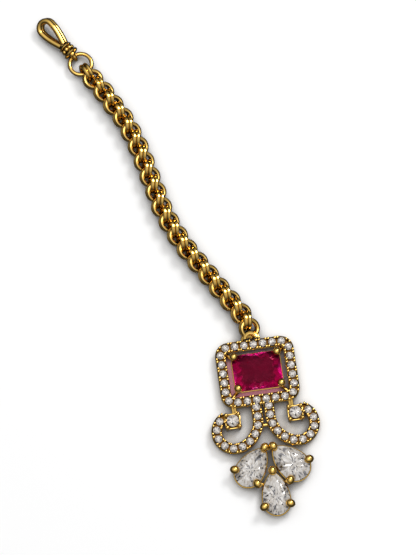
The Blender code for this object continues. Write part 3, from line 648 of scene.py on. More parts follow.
class Bench:
    """Gathers shapes, each made in a bmesh of its own and set down at one place or more."""

    def __init__(self):
        self.whole = bmesh.new()

    def add(self, places, make, *arguments):
        """Makes a shape once and sets a copy down at each place."""
        shape = bmesh.new()
        make(shape, *arguments)
        bmesh.ops.recalc_face_normals(shape, faces=shape.faces)
        mesh = bpy.data.meshes.new("shape")
        shape.to_mesh(mesh)
        shape.free()
        for place in places:
            copy = mesh.copy()
            copy.transform(place)
            if place.determinant() < 0:
                copy.flip_normals()
            self.whole.from_mesh(copy)
            bpy.data.meshes.remove(copy)
        bpy.data.meshes.remove(mesh)


def add_piece(name, bench, materials, slot, *nodes):
    """Makes a piece of what lies on the bench and puts it in the place of the CAD nodes."""
    mesh = bpy.data.meshes.new(name)
    bench.whole.to_mesh(mesh)
    bench.whole.free()
    if slot == "polished_gold":
        mesh.shade_smooth()
        mesh.set_sharp_from_angle(angle=math.radians(32))
    for material in materials:
        mesh.materials.append(material)
    piece = bpy.data.objects.new(name, mesh)
    bpy.context.scene.collection.objects.link(piece)
    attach(piece, "root")
    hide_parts(*nodes)
    return piece


def centre_of(node):
    """The middle of a CAD node's box."""
    low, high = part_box(node)
    return (low + high) / 2


def pendant_place(sizes):
    """The pendant's frame: its origin is under the ruby's centre and Y runs up to the bail."""
    centre = centre_of("ruby")
    return moved(centre.x, centre.y) @ rotated(sizes.lie)


def head_place(sizes):
    """The frame of the halo, the ruby and the bail, a little further down than the pendant's."""
    return pendant_place(sizes) @ moved(0, -sizes.head_drop)


class Route:
    """A run of points on a plane that can be read at any distance along it."""

    def __init__(self, points, closed=False):
        self.points = [*points, points[0]] if closed else list(points)
        self.closed = closed
        self.reach = [0.0]
        for start, end in zip(self.points, self.points[1:]):
            self.reach.append(self.reach[-1] + (end - start).length)
        self.length = self.reach[-1]

    def point(self, distance):
        """The point at a distance along the run."""
        if self.closed:
            distance %= self.length
        index = min(max(bisect.bisect_right(self.reach, distance), 1), len(self.reach) - 1)
        run = self.reach[index] - self.reach[index - 1]
        share = (distance - self.reach[index - 1]) / run
        return self.points[index - 1].lerp(self.points[index], share)

    def place(self, distance, spread=0.05 * MM):
        """X is across to the right, Y is up and Z is ahead."""
        ahead = (self.point(distance + spread) - self.point(distance - spread)).normalized()
        spot = self.point(distance)
        return Matrix((
            (ahead.y, 0, ahead.x, spot.x),
            (-ahead.x, 0, ahead.y, spot.y),
            (0, 1, 0, 0),
            (0, 0, 0, 1),
        ))


def sweep(shape, section, places, closed=False):
    """Carries a section through the places, one extrusion at a time, and returns its rows."""
    row = [shape.verts.new(places[0] @ Vector((*point, 0))) for point in section]
    edges = [shape.edges.new(pair) for pair in zip(row, [*row[1:], row[0]])]
    first = edges
    rows = [row]
    for before, after in zip(places, places[1:]):
        grown = bmesh.ops.extrude_edge_only(shape, edges=edges)["geom"]
        fresh = {item for item in grown if isinstance(item, bmesh.types.BMVert)}
        edges = [
            item for item in grown
            if isinstance(item, bmesh.types.BMEdge) and fresh.issuperset(item.verts)
        ]
        bmesh.ops.transform(shape, matrix=after @ before.inverted(), verts=list(fresh))
        row = [
            next(edge.other_vert(corner) for edge in corner.link_edges
                 if edge.other_vert(corner) in fresh)
            for corner in row
        ]
        rows.append(row)
    if closed:
        bmesh.ops.bridge_loops(shape, edges=[*first, *edges])
    else:
        bmesh.ops.edgeloop_fill(shape, edges=first)
        bmesh.ops.edgeloop_fill(shape, edges=edges)
    return rows


def round_section(diameter, sides, across=0.0, up=0.0):
    """A round wire's section, for a sweep or a rail."""
    corners = [diameter / 2 * on_circle(math.tau * side / sides) for side in range(sides)]
    return [(across + corner.x, up + corner.y) for corner in corners]


def wire_ring(shape, radius, wire, steps, sides, angle=math.tau):
    """A ring of round wire in the XY plane, or as much of one as the angle says, from X on."""
    section = bmesh.ops.create_circle(
        shape, segments=sides, radius=wire / 2, matrix=moved(radius) @ rotated(QUARTER, "X")
    )["verts"]
    bmesh.ops.spin(
        shape, geom=[*section, *shape.edges], cent=(0, 0, 0), axis=(0, 0, 1), angle=angle,
        steps=steps, use_merge=angle == math.tau,
    )
    bmesh.ops.holes_fill(shape, edges=[edge for edge in shape.edges if edge.is_boundary])


def ball(shape, diameter, segments=16, rings=10):
    bmesh.ops.create_uvsphere(shape, u_segments=segments, v_segments=rings, radius=diameter / 2)


def rod(shape, start, end, diameter, sides=10):
    """A round bar between two points."""
    run = end - start
    middle = (end + start) / 2
    aim = Vector((0, 0, 1)).rotation_difference(run).to_matrix().to_4x4()
    bmesh.ops.create_cone(
        shape, cap_ends=True, segments=sides, radius1=diameter / 2, radius2=diameter / 2,
        depth=run.length, matrix=moved(*middle) @ aim,
    )


def block(shape, dimensions, edge, segments=2):
    """A box with its edges rounded off."""
    bmesh.ops.create_cube(shape, size=1, matrix=Matrix.Diagonal((*dimensions, 1)))
    bmesh.ops.bevel(
        shape, geom=shape.edges[:], offset=edge, affect="EDGES", segments=segments, profile=0.5,
        material=-1,
    )


def wrap(shape, corners):
    """Wraps corners in flat facets to a cut stone. Each corner has its spot on the stone's map."""
    spots = {shape.verts.new(corner): spot for corner, spot in corners}
    bmesh.ops.convex_hull(shape, input=shape.verts[:])
    bmesh.ops.dissolve_limit(
        shape, angle_limit=math.radians(1.2), verts=shape.verts[:], edges=shape.edges[:]
    )
    layer = shape.loops.layers.uv.new(STONE_MAP)
    for face in shape.faces:
        for loop in face.loops:
            loop[layer].uv = spots[loop.vert]


def gem(shape, outline, rings, depths, shift=0.0):
    """A cut stone around its girdle's middle, from a table of its rings of corners."""
    crown, pavilion = depths
    corners = []
    for count, phase, share, level in rings:
        height = level * (crown if level > 0 else pavilion)
        for step in range(count):
            angle = math.tau * (step + phase) / count
            corners.append(((*(outline(angle) * share), height), share * on_circle(angle + shift)))
    wrap(shape, corners)


def circle_outline(diameter):
    return lambda angle: diameter / 2 * on_circle(angle)


def pear_outline(sizes, grow=0.0, middle=0.0):
    """A pear's edge by angle around the middle of its round end, or a point nearer the tip."""
    half = sizes.pear_width / 2 + grow
    reach = sizes.pear_length - sizes.pear_width / 2 + grow
    shift = (reach * reach - half * half) / (2 * half)

    def edge(angle):
        across, up = abs(math.cos(angle)), math.sin(angle)
        if up <= 0:
            radius = half
        else:
            radius = math.sqrt((half + shift) ** 2 - (shift * up) ** 2) - shift * across
        return radius * Vector((math.cos(angle), up)) - Vector((0, middle))

    return edge


def halo_route(sizes):
    """The halo's middle line, anticlockwise from the middle of its top."""
    half_u = sizes.halo_width / 2 - sizes.halo_corner
    half_v = sizes.halo_length / 2 - sizes.halo_corner
    points = [Vector((0, sizes.halo_length / 2))]
    for quarter, (u, v) in enumerate(((-1, 1), (-1, -1), (1, -1), (1, 1))):
        for step in range(11):
            angle = QUARTER * (quarter + 1 + step / 10)
            points.append(Vector((u * half_u, v * half_v)) + sizes.halo_corner * on_circle(angle))
    return Route(points, closed=True)


def halo_edge(sizes):
    """From the halo's middle to its outer edge at the top and the bottom."""
    return sizes.halo_length / 2 + sizes.band_width / 2


def scroll_route(sizes):
    """The middle line of the right scroll from the halo to its square setting."""
    stem_end = Vector((sizes.stem_offset, -halo_edge(sizes) - sizes.stem_length))
    centre = stem_end + Vector((sizes.sweep_radius, 0))
    points = [Vector((sizes.stem_offset, SOLDER - halo_edge(sizes))), stem_end]
    for step in range(1, 25):
        angle = math.pi + sizes.sweep_turn * step / 24
        points.append(centre + sizes.sweep_radius * on_circle(angle))
    start = math.pi + sizes.sweep_turn
    centre += (sizes.sweep_radius - sizes.volute_radius) * on_circle(start)
    for step in range(1, 41):
        angle = start + sizes.volute_turn * step / 40
        points.append(centre + sizes.volute_radius * on_circle(angle))
    return Route(points)


def stone_rhythm(sizes, route, closed):
    """The distance of the first stone and the step to the next along a band."""
    if closed:
        return 0.0, route.length / sizes.halo_stones
    run = route.length - LAST_STONE - FIRST_STONE
    return FIRST_STONE, run / (sizes.scroll_stones - 1)


def stone_distances(sizes, route, closed=False):
    """Where the stones sit along a band."""
    first, step = stone_rhythm(sizes, route, closed)
    count = sizes.halo_stones if closed else sizes.scroll_stones
    return [first + step * index for index in range(count)]


def band(shape, sizes, route, closed=False):
    """A stone-set band with a sunk channel between two rails that dip beside each stone."""
    first, step = stone_rhythm(sizes, route, closed)
    count = round(route.length / step * BAND_ROWS)
    distances = [route.length * index / count for index in range(count + (not closed))]
    half = sizes.band_width / 2
    section = [(share * half, sizes.band_height - under * MM) for share, under, _ in BAND_SECTION]
    places = [route.place(distance) for distance in distances]
    if not closed:
        ends = [rounding(route.length - distance, half) for distance in distances]
        places = [place @ end for place, end in zip(places, ends)]
    rows = sweep(shape, section, places, closed)
    for distance, row in zip(distances, rows):
        dip = (0.5 + 0.5 * math.cos(math.tau * (distance - first) / step)) * SCALLOP_DEPTH
        for corner, (_, _, sway) in zip(row, BAND_SECTION):
            corner.co.z -= dip * sway
    # The channel's faces take the second material, the painted shade gold
    channel = {row[index] for row in rows for index in BAND_CHANNEL}
    for face in shape.faces:
        if channel.issuperset(face.verts):
            face.material_index = 1


def rounding(left, half):
    """Draws a band in to a round end where less than half its width is left."""
    out = max(1 - left / half, 0.0)
    return Matrix.Diagonal((max(math.sqrt(1 - out * out), 0.3), 1, 1, 1))


def bead_places(sizes, route, closed=False):
    """Two small beads at each edge between neighbouring stones."""
    first, step = stone_rhythm(sizes, route, closed)
    gaps = sizes.halo_stones if closed else sizes.scroll_stones
    height = sizes.band_height + BEAD_RISE
    places = []
    for index in range(gaps):
        for shift in (-BEAD_SHIFT, BEAD_SHIFT):
            distance = first + step * (index + 0.5) + shift
            if distance < route.length or closed:
                for side in (-BEAD_SIDE, BEAD_SIDE):
                    spot = route.place(distance) @ Vector((side * sizes.band_width / 2, height, 0))
                    places.append(moved(*spot))
    return places


def mirrored():
    """The two hands of a scroll."""
    return Matrix.Diagonal((-1, 1, 1, 1)), Matrix()


def setting_spots(sizes):
    """The middles of the square settings, by the names of their stones' nodes."""
    drop = halo_edge(sizes) + sizes.setting_drop
    return {
        "side_stone_left": Vector((-sizes.setting_offset, -drop, 0)),
        "side_stone_right": Vector((sizes.setting_offset, -drop, 0)),
    }


def cup(shape, width):
    """A square cup that narrows towards its foot."""
    bmesh.ops.create_cone(
        shape, cap_ends=True, segments=4, radius1=width * CUP_FOOT, radius2=width * CUP_MOUTH,
        depth=CUP_HEIGHT, matrix=moved(up=CUP_HEIGHT / 2) @ rotated(QUARTER / 2),
    )
    # All the cup's faces take the painted shade gold
    for face in shape.faces:
        face.material_index = 1


def square_setting(bench, sizes, place):
    """A square cup with a ball on each corner and a low wall between them."""
    width = sizes.setting_width
    bench.add([place], cup, width)
    reach = width / 2 - CLAW_INSET
    corners = [place @ moved(u, v) for u in (-reach, reach) for v in (-reach, reach)]
    bench.add(corners, rod, Vector((0, 0, PRONG_FOOT)), Vector((0, 0, CLAW_TOP)), CLAW_WIRE)
    tops = [corner @ moved(up=CLAW_BALL_HEIGHT) for corner in corners]
    bench.add(tops, ball, CLAW_BALL, 14, 9)
    middle = moved(0, width / 2 - WALL_INSET, WALL_MIDDLE)
    walls = [place @ rotated(QUARTER * side) @ middle for side in range(4)]
    bench.add(walls, block, (width - WALL_GAP, WALL_THICKNESS, WALL_HEIGHT), WALL_ROUNDING)


def pear_places(sizes):
    """The place of each pear stone; the place's origin is the middle of its round end."""
    reach = sizes.pear_length - sizes.pear_width / 2
    places = {}
    for name, side in (("pear_left", -1), ("pear_right", 1)):
        lean = side * sizes.pear_tilt
        tip = Vector((side * sizes.pear_tip_offset, -sizes.pear_tip_drop))
        centre = tip + reach * Vector((math.sin(lean), -math.cos(lean)))
        places[name] = moved(*centre) @ rotated(lean)
    places["pear_bottom"] = moved(0, -sizes.last_tip_drop - reach)
    return places


def pear_prong_spots(sizes, name):
    """Two prongs beside the round end and one at the tip, in the pear's own frame."""
    half = (sizes.pear_width / 2 + PEAR_PRONG_GAP) * PEAR_SHARES[name]
    across, back = half * on_circle(PEAR_PRONG_TURN)
    tip = sizes.pear_length - sizes.pear_width / 2
    return [Vector((across, -back, 0)), Vector((-across, -back, 0)), Vector((0, tip, 0))]


def prongs(bench, places, sizes, height, stretch=1.0):
    """Wires that stand beside a stone and end in balls, which can be longer towards the stone."""
    bench.add(places, rod, Vector((0, 0, PRONG_FOOT)), Vector((0, 0, height)), sizes.prong_wire)
    top = moved(up=height) @ Matrix.Diagonal((stretch, 1, 1, 1))
    bench.add([place @ top for place in places], ball, sizes.ball, 20, 14)


def rail(shape, corners, section, points=48):
    """A closed rail that follows a stone's outline."""
    route = Route(corners, closed=True)
    step = route.length / points
    places = [route.place(step * index, spread=0.2 * MM) for index in range(points)]
    sweep(shape, section, places, closed=True)


def pear_basket(bench, sizes, places):
    """A rail under the girdle and the tapered wall below it."""
    turns = [math.tau * index / 48 for index in range(48)]
    round_wire = round_section(PEAR_RAIL_WIRE, 8, 0, sizes.pear_girdle - PEAR_RAIL_DROP)
    wall = [(across * MM, up * MM) for across, up in PEAR_WALL]
    for grow, section in ((PEAR_RAIL_GAP, round_wire), (-PEAR_WALL_INSET, wall)):
        edge = pear_outline(sizes, grow)
        bench.add(places, rail, [edge(angle) for angle in turns], section)


def ruby_corners(sizes, share_u=1.0, share_v=1.0):
    """The ruby's eight corners."""
    half_u, half_v, cut = sizes.ruby_width / 2, sizes.ruby_length / 2, sizes.ruby_corner
    quarter = ((half_u, half_v - cut), (half_u - cut, half_v))
    points = [*quarter, *((-u, v) for u, v in quarter[::-1])]
    points += [(-u, -v) for u, v in points]
    return [Vector((u * share_u, v * share_v)) for u, v in points]


def ruby_stone(shape, sizes):
    """A cut-corner stone: stepped crown over a pavilion of triangular facets."""
    crown, pavilion = RUBY_DEPTHS
    corners = []
    for share_u, share_v, level in RUBY_STEPS:
        height = level * (crown if level > 0 else pavilion)
        corners += [(*point, height) for point in ruby_corners(sizes, share_u, share_v)]
    half_u, half_v = sizes.ruby_width / 2, sizes.ruby_length / 2
    for count, phase, share_u, share_v, level in RUBY_RINGS:
        for step in range(count):
            u, v = on_circle(math.tau * (step + phase) / count)
            corners.append((half_u * share_u * u, half_v * share_v * v, level * pavilion))
    corners += [(half_u * share, 0, -pavilion) for share in (-RUBY_KEEL, RUBY_KEEL)]
    wrap(shape, [((u, v, height), (u / half_u, v / half_v)) for u, v, height in corners])


def ruby_prong_spots(sizes):
    """The feet of the ruby's four prongs."""
    reach_u = sizes.ruby_width / 2 - sizes.prong_inset - RUBY_PRONG_SHIFT[0]
    reach_v = sizes.ruby_length / 2 - sizes.prong_inset - RUBY_PRONG_SHIFT[1]
    return [Vector((u * reach_u, v * reach_v, 0)) for u in (-1, 1) for v in (-1, 1)]


def ruby_basket(bench, sizes, place):
    """Two rails round the ruby, one under its girdle and a smaller one below."""
    for share, height, wire in RUBY_RAILS:
        section = round_section(wire * MM, 8, 0, height * MM)
        bench.add([place], rail, ruby_corners(sizes, share, share), section, 64)


class TIKKA_OT_chain(bpy.types.Operator):
    """Builds the chain: pairs of round rings, each turned a quarter from the pair before"""

    bl_idname = "tikka.chain"
    bl_label = "Chain"

    def execute(self, context):
        sizes = context.scene.tikka_chain
        origin = centre_of("ruby")
        points = smooth_route([Vector(point) * MM + origin.xy for point in CHAIN_ROUTE])
        route = Route(points)
        bench = Bench()
        radius = (sizes.ring_diameter - sizes.ring_wire) / 2
        half = sizes.pair_spacing / 2
        pairs = pair_places(sizes, route)
        rings = [place @ moved(up=shift) for place in pairs for shift in (-half, half)]
        bench.add(rings, wire_ring, radius, sizes.ring_wire, 28, 10)
        finishes = context.scene.tikka_finishes
        add_piece("chain_rings", bench, [bright_gold(finishes)], "polished_gold", "chain")
        return {"FINISHED"}


def smooth_route(chosen):
    """A smooth curve through the chosen points, as close-set points."""
    padded = [2 * chosen[0] - chosen[1], *chosen, 2 * chosen[-1] - chosen[-2]]
    steps = 12
    points = []
    for p0, p1, p2, p3 in zip(padded, padded[1:], padded[2:], padded[3:]):
        for step in range(steps):
            t = step / steps
            points.append(0.5 * (
                2 * p1 + (p2 - p0) * t + (2 * p0 - 5 * p1 + 4 * p2 - p3) * t * t
                + (3 * p1 - p0 - 3 * p2 + p3) * t ** 3
            ))
    return [*points, chosen[-1]]


def lay_at(share):
    """Spacing, roll and lean at a share of the chain, between the rows of its table."""
    for lower, upper in zip(CHAIN_LAY, CHAIN_LAY[1:]):
        if share <= upper[0]:
            part = (share - lower[0]) / (upper[0] - lower[0])
            return [a + (b - a) * part for a, b in zip(lower[1:], upper[1:])]
    return CHAIN_LAY[-1][1:]


def pair_places(sizes, route):
    """The place of each pair of rings: its rings lie in the place's XY plane."""
    weights = [lay_at((index + 0.5) / (sizes.pairs - 1))[0] for index in range(sizes.pairs - 1)]
    unit = route.length / sum(weights)
    height = centre_of("chain").z + CHAIN_RISE
    places = []
    for index in range(sizes.pairs):
        distance = unit * sum(weights[:index])
        spot = route.point(distance)
        before, after = max(distance - unit / 2, 0), min(distance + unit / 2, route.length)
        ahead = route.point(after) - route.point(before)
        roll, lean = (math.radians(value) for value in lay_at(index / (sizes.pairs - 1))[1:])
        roll += QUARTER * (index % 2)
        place = moved(*spot, height) @ rotated(math.atan2(ahead.y, ahead.x))
        places.append(place @ rotated(roll, "X") @ rotated(-lean, "Y"))
    return places


class TIKKA_OT_jump_ring(bpy.types.Operator):
    """Builds the plain ring between the hair loop and the chain"""

    bl_idname = "tikka.jump_ring"
    bl_label = "Jump Ring"

    def execute(self, context):
        sizes = context.scene.tikka_chain
        bench = Bench()
        radius = (sizes.jump_diameter - sizes.jump_wire) / 2
        place = moved(*centre_of("jump_ring"))
        bench.add([place], wire_ring, radius, sizes.jump_wire, 64, 16)
        finishes = context.scene.tikka_finishes
        add_piece("jump_ring_wire", bench, [bright_gold(finishes)], "polished_gold", "jump_ring")
        return {"FINISHED"}


def clip_place(sizes):
    """The clip's frame: its origin is in the jump ring's wire and X runs towards the loop."""
    centre = centre_of("jump_ring")
    reach = (sizes.jump_diameter - sizes.jump_wire) / 2
    return moved(centre.x, centre.y) @ rotated(sizes.clip_turn) @ moved(reach)


def loop_route(sizes):
    """The hair loop's middle line: two legs that part from the neck and a round far end."""
    radius = (sizes.loop_width - sizes.loop_wire) / 2
    run = sizes.loop_length - sizes.loop_wire / 2 - radius
    leg = []
    for step in range(16):
        apart = LOOP_NECK + (radius - LOOP_NECK) * math.sin(QUARTER * step / 16)
        leg.append(Vector((LOOP_START + run * step / 16, apart)))
    middle = Vector((LOOP_START + run, 0))
    around = [middle + radius * on_circle(math.pi * (0.5 - step / 30)) for step in range(31)]
    return Route([*leg, *around, *(Vector((point.x, -point.y)) for point in reversed(leg))])


class TIKKA_OT_clip(bpy.types.Operator):
    """Builds the hair loop of two soldered wires, its beaded collar and the eye"""

    bl_idname = "tikka.clip"
    bl_label = "Hair Loop"

    def execute(self, context):
        sizes = context.scene.tikka_chain
        level = clip_place(sizes)
        on_edge, on_side = math.sin(abs(sizes.clip_roll)), math.cos(sizes.clip_roll)
        axis = level @ moved(up=sizes.loop_width / 2 * on_edge + sizes.loop_wire * on_side)
        rolled = axis @ rotated(sizes.clip_roll, "X")
        bench = Bench()
        bench.add([rolled], self.loop, sizes)
        bench.add([axis], self.collar)
        angles = [math.tau * bead / COLLAR_BEADS for bead in range(COLLAR_BEADS)]
        beads = [rolled @ rotated(angle, "X") @ moved(*COLLAR_BEAD_SPOT) for angle in angles]
        bench.add(beads, ball, COLLAR_BEAD, 14, 9)
        bench.add([axis @ moved(*KNOB_SPOT)], ball, KNOB, 20, 14)
        eye = level @ moved(up=EYE_HEIGHT) @ rotated(QUARTER, "X")
        bench.add([eye], wire_ring, EYE_RADIUS, EYE_WIRE, 28, 12)
        finishes = context.scene.tikka_finishes
        add_piece("hair_loop", bench, [bright_gold(finishes)], "polished_gold", "clip")
        return {"FINISHED"}

    def loop(self, shape, sizes):
        """Two round wires that lie on each other all the way round the loop."""
        route = loop_route(sizes)
        steps = 72
        places = [route.place(route.length * step / steps) for step in range(steps + 1)]
        for up in (-LOOP_SPREAD, LOOP_SPREAD):
            sweep(shape, round_section(sizes.loop_wire, 20, 0, up * sizes.loop_wire), places)

    def collar(self, shape):
        """Two flanges with a waist between them, turned about the clip's axis."""
        points = [shape.verts.new((along * MM, reach * MM, 0)) for along, reach in COLLAR]
        edges = [shape.edges.new(pair) for pair in zip(points, points[1:])]
        bmesh.ops.spin(
            shape, geom=[*points, *edges], cent=(0, 0, 0), axis=(1, 0, 0), angle=math.tau,
            steps=32, use_merge=True,
        )
        bmesh.ops.remove_doubles(shape, verts=shape.verts[:], dist=0.001 * MM)


class TIKKA_OT_pendant(bpy.types.Operator):
    """Builds the pendant's soldered gold work: halo, bail, scrolls, settings, baskets and prongs"""

    bl_idname = "tikka.pendant"
    bl_label = "Pendant Gold"

    def execute(self, context):
        sizes = context.scene.tikka_pendant
        drops = context.scene.tikka_drops
        place = pendant_place(sizes)
        hands = [place @ hand for hand in mirrored()]
        head = head_place(sizes)
        bench = Bench()
        halo, scroll = halo_route(sizes), scroll_route(sizes)
        bench.add([head], band, sizes, halo, True)
        bench.add(hands, band, sizes, scroll)
        beads = [head @ bead for bead in bead_places(sizes, halo, True)]
        beads += [hand @ bead for hand in hands for bead in bead_places(sizes, scroll)]
        bench.add(beads, ball, sizes.bead_diameter, 8, 5)
        bench.add(hands, self.posts, sizes)
        for spot in setting_spots(sizes).values():
            square_setting(bench, sizes, place @ moved(*spot))
        for radius, height, wire in BAIL_ARCHES:
            foot = head @ moved(BAIL_SHIFT, halo_edge(sizes) + BAIL_GAP, height * MM)
            bench.add([foot], wire_ring, radius * MM, wire * MM, 18, 10, math.pi)
        bench.add([place], self.bridge, sizes)
        ruby_basket(bench, drops, head)
        stands = ruby_prong_spots(drops)
        prongs(bench, [head @ moved(*spot) for spot in stands], drops, RUBY_BALL_HEIGHT)
        for spot in stands:
            bench.add([head @ moved(up=STRUT_HEIGHT)], self.strut, sizes, spot)
        stands, shells = [], []
        for name, pear in pear_places(drops).items():
            shells.append(place @ pear @ Matrix.Diagonal((PEAR_SHARES[name], 1, 1, 1)))
            for spot in pear_prong_spots(drops, name):
                towards = rotated(math.atan2(spot.y, spot.x))
                stands.append(place @ pear @ moved(*spot) @ towards)
        pear_basket(bench, drops, shells)
        prongs(bench, stands, drops, PEAR_BALL_HEIGHT, PEAR_BALL_STRETCH)
        for across, drop, height, width in SOLDER_BALLS:
            spots = [Vector((u, -drop, height)) * MM for u in (-across, across)]
            bench.add([place @ moved(*spot) for spot in spots], ball, width * MM, 14, 9)
        bench.add([place], self.tip_bar, drops)
        finishes = context.scene.tikka_finishes
        # The second gold is the painted shade on the channels and the cups
        golds = [bright_gold(finishes), channel_shade_gold(finishes)]
        add_piece("pendant_gold", bench, golds, "polished_gold", "pendant_frame")
        return {"FINISHED"}

    def posts(self, shape, sizes):
        """Two thin wires from the halo down to a square setting."""
        top = SOLDER - halo_edge(sizes)
        bottom = sizes.setting_width / 2 - sizes.setting_drop - halo_edge(sizes) - SOLDER
        for shift in POST_SHIFTS:
            u = sizes.setting_offset + shift
            ends = [Vector((u, v, POST_HEIGHT)) for v in (top, bottom)]
            rod(shape, *ends, POST_WIRE)

    def bridge(self, shape, sizes):
        """The small bar across the slit between the two stems."""
        level = -halo_edge(sizes) - sizes.stem_length - BRIDGE_DROP
        ends = [Vector((u, level, BRIDGE_HEIGHT)) for u in (-BRIDGE_REACH, BRIDGE_REACH)]
        rod(shape, *ends, BRIDGE_WIRE)

    def strut(self, shape, sizes, spot):
        """A bar from a prong of the ruby out to the corner of the halo."""
        corner = Vector((
            math.copysign(sizes.halo_width / 2 - STRUT_INSET, spot.x),
            math.copysign(sizes.halo_length / 2 - STRUT_INSET, spot.y), 0,
        ))
        rod(shape, spot, corner, STRUT_WIRE)

    def tip_bar(self, shape, drops):
        """The bar between the two upper pears' tips."""
        places = pear_places(drops)
        tip = pear_prong_spots(drops, "pear_left")[2] + Vector((0, 0, TIP_BAR_HEIGHT))
        rod(shape, places["pear_left"] @ tip, places["pear_right"] @ tip, TIP_BAR_WIRE)


class TIKKA_OT_small_stones(bpy.types.Operator):
    """Builds the small round stones of the halo and the scrolls"""

    bl_idname = "tikka.small_stones"
    bl_label = "Small Stones"

    def execute(self, context):
        sizes = context.scene.tikka_pendant
        halo, scroll = halo_route(sizes), scroll_route(sizes)
        head = head_place(sizes)
        hands = [pendant_place(sizes) @ hand for hand in mirrored()]
        around = [halo.place(distance) for distance in stone_distances(sizes, halo, True)]
        along = [scroll.place(distance) for distance in stone_distances(sizes, scroll)]
        spots = [head @ spot for spot in around]
        spots += [hand @ spot for hand in hands for spot in along]
        seats = []
        for index, spot in enumerate(spots):
            seat = moved(*spot.to_translation().xy, sizes.band_height - SMALL_SUNK)
            seats.append(seat @ rotated(index * 0.7))
        bench = Bench()
        bench.add(seats, gem, circle_outline(sizes.pave_diameter), ROUND_CUT, SMALL_DEPTHS)
        finishes = context.scene.tikka_finishes
        add_piece("small_stones", bench, [round_sparkle(finishes)], "clear_stone", "pendant_frame")
        return {"FINISHED"}


class TIKKA_OT_large_stones(bpy.types.Operator):
    """Builds the ruby, the pear drops and the two larger round stones"""

    bl_idname = "tikka.large_stones"
    bl_label = "Large Stones"

    def execute(self, context):
        sizes = context.scene.tikka_pendant
        drops = context.scene.tikka_drops
        finishes = context.scene.tikka_finishes
        place = pendant_place(sizes)
        bench = Bench()
        bench.add([head_place(sizes) @ moved(up=drops.ruby_girdle)], ruby_stone, drops)
        add_piece("ruby_stone", bench, [ruby_sparkle(finishes)], "ruby_red", "ruby")
        for name, spot in setting_spots(sizes).items():
            bench = Bench()
            seat = place @ moved(*spot) @ moved(up=SIDE_GIRDLE)
            bench.add([seat], gem, circle_outline(sizes.side_stone), ROUND_CUT, SIDE_DEPTHS)
            add_piece(name + "_cut", bench, [round_sparkle(finishes)], "clear_stone", name)
        for index, (name, pear) in enumerate(pear_places(drops).items()):
            bench = Bench()
            seat = place @ pear @ Matrix.Diagonal((PEAR_SHARES[name], 1, 1, 1))
            seat @= moved(0, PEAR_MIDDLE, drops.pear_girdle)
            outline = pear_outline(drops, 0.0, PEAR_MIDDLE)
            shift = math.tau / PEAR_POINTS * index * 3
            bench.add([seat], gem, outline, PEAR_CUT, PEAR_DEPTHS, shift)
            add_piece(name + "_cut", bench, [drop_sparkle(finishes)], "clear_stone", name)
        return {"FINISHED"}


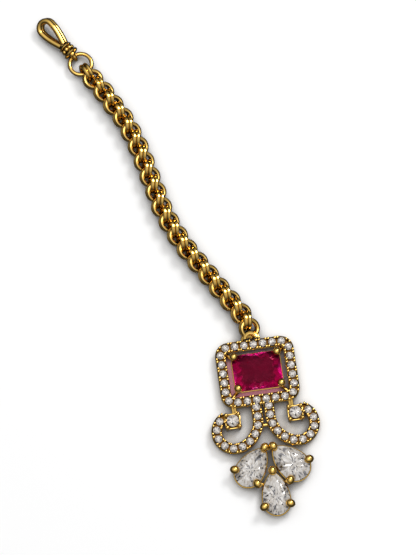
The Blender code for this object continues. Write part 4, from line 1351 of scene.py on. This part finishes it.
class TIKKA_OT_stage(bpy.types.Operator):
    """Sets up the floor, the lights, the surroundings and the camera"""

    bl_idname = "tikka.stage"
    bl_label = "Stage"

    def execute(self, context):
        self.floor(context.scene.tikka_finishes)
        self.surroundings(context.scene)
        for name, spot, width, power, mirrored_in_metal in LAMPS:
            stand = self.lamp(context.scene, name, width, width, power)
            stand.location = spot
            stand.visible_glossy = mirrored_in_metal
            stand.rotation_euler = Vector(spot).to_track_quat("Z", "Y").to_euler()
        self.red_glow(context.scene)
        self.camera(context.scene)
        return {"FINISHED"}

    def lamp(self, scene, name, width, length, power):
        """A flat lamp that shines straight down."""
        lamp = bpy.data.lights.new(name, "AREA")
        lamp.shape = "RECTANGLE"
        lamp.size, lamp.size_y = width, length
        lamp.energy = power
        stand = bpy.data.objects.new(name, lamp)
        scene.collection.objects.link(stand)
        return stand

    def red_glow(self, scene):
        """The light that the ruby lets through onto the floor, away from the key light."""
        glow = self.lamp(scene, "red_glow", GLOW_WIDTH, GLOW_LENGTH, GLOW_POWER)
        glow.data.color = (1.0, 0.25, 0.35)
        glow.matrix_world = head_place(scene.tikka_pendant) @ moved(*GLOW_SPOT)
        glow.visible_glossy = False

    def floor(self, finishes):
        """A wide pale board a hair's breadth under the piece."""
        shape = bmesh.new()
        bmesh.ops.create_grid(shape, x_segments=8, y_segments=8, size=1.5)
        bmesh.ops.translate(shape, vec=(0, 0, -0.02 * MM), verts=shape.verts)
        mesh = bpy.data.meshes.new("floor")
        shape.to_mesh(mesh)
        shape.free()
        mesh.materials.append(pale_floor(finishes))
        ground = bpy.data.objects.new("floor", mesh)
        ground.visible_glossy = False
        bpy.context.scene.collection.objects.link(ground)

    def surroundings(self, scene):
        """A studio that is dark at the sides and light overhead."""
        tree = Tree(bpy.data.worlds.new("studio"), "Background")
        point = tree.node("ShaderNodeTexCoord", output="Generated")
        height = tree.node("ShaderNodeSeparateXYZ", None, {"Vector": point}, output="Z")
        stops = [(share, (value, value, value)) for share, value in STUDIO]
        scene.world = tree.shade(color=tree.ramp(height * 0.5 + 0.5, "stops", stops))

    def camera(self, scene):
        """The camera looks down from 75 degrees and frames the piece as the photograph does."""
        lens = bpy.data.cameras.new("camera")
        lens.sensor_fit = "VERTICAL"
        lens.sensor_height = SENSOR
        lens.lens = SENSOR * (CAMERA_DISTANCE / PHOTO_SCALE) / PHOTO_HEIGHT
        lens.clip_start = 0.01
        view = bpy.data.objects.new("camera", lens)
        centre = centre_of("ruby")
        view.location = Vector((centre.x, centre.y, 0)) + Vector(CAMERA_SPOT) * MM
        view.rotation_euler = (CAMERA_LEAN, 0, 0)
        scene.collection.objects.link(view)
        scene.camera = view
        scene.view_settings.view_transform = "Standard"


class TIKKA_PT_panel(bpy.types.Panel):
    """Lists the pieces and their sizes"""

    bl_idname = "TIKKA_PT_panel"
    bl_label = "Maang Tikka"
    bl_space_type = "VIEW_3D"
    bl_region_type = "UI"
    bl_category = "Tikka"

    def draw(self, context):
        for operator in OPERATORS:
            self.layout.operator(operator.bl_idname)
        for group in GROUPS:
            self.layout.label(text=group)
            settings = getattr(context.scene, group)
            for name in settings.__annotations__:
                self.layout.prop(settings, name)


OPERATORS = (
    TIKKA_OT_clip, TIKKA_OT_jump_ring, TIKKA_OT_chain, TIKKA_OT_pendant, TIKKA_OT_small_stones,
    TIKKA_OT_large_stones, TIKKA_OT_stage,
)
GROUPS = {
    "tikka_pendant": PendantSizes,
    "tikka_drops": DropSizes,
    "tikka_chain": ChainSizes,
    "tikka_finishes": Finishes,
}


def register():
    for group in (*GROUPS.values(), *OPERATORS, TIKKA_PT_panel):
        bpy.utils.register_class(group)
    for name, group in GROUPS.items():
        setattr(bpy.types.Scene, name, PointerProperty(type=group))


def unregister():
    for name in GROUPS:
        delattr(bpy.types.Scene, name)
    for group in (TIKKA_PT_panel, *reversed(OPERATORS), *reversed(GROUPS.values())):
        bpy.utils.unregister_class(group)


def main():
    """Builds every piece and the stage."""
    register()
    bpy.ops.tikka.clip()
    bpy.ops.tikka.jump_ring()
    bpy.ops.tikka.chain()
    bpy.ops.tikka.pendant()
    bpy.ops.tikka.small_stones()
    bpy.ops.tikka.large_stones()
    bpy.ops.tikka.stage()


if __name__ == "__main__":
    main()
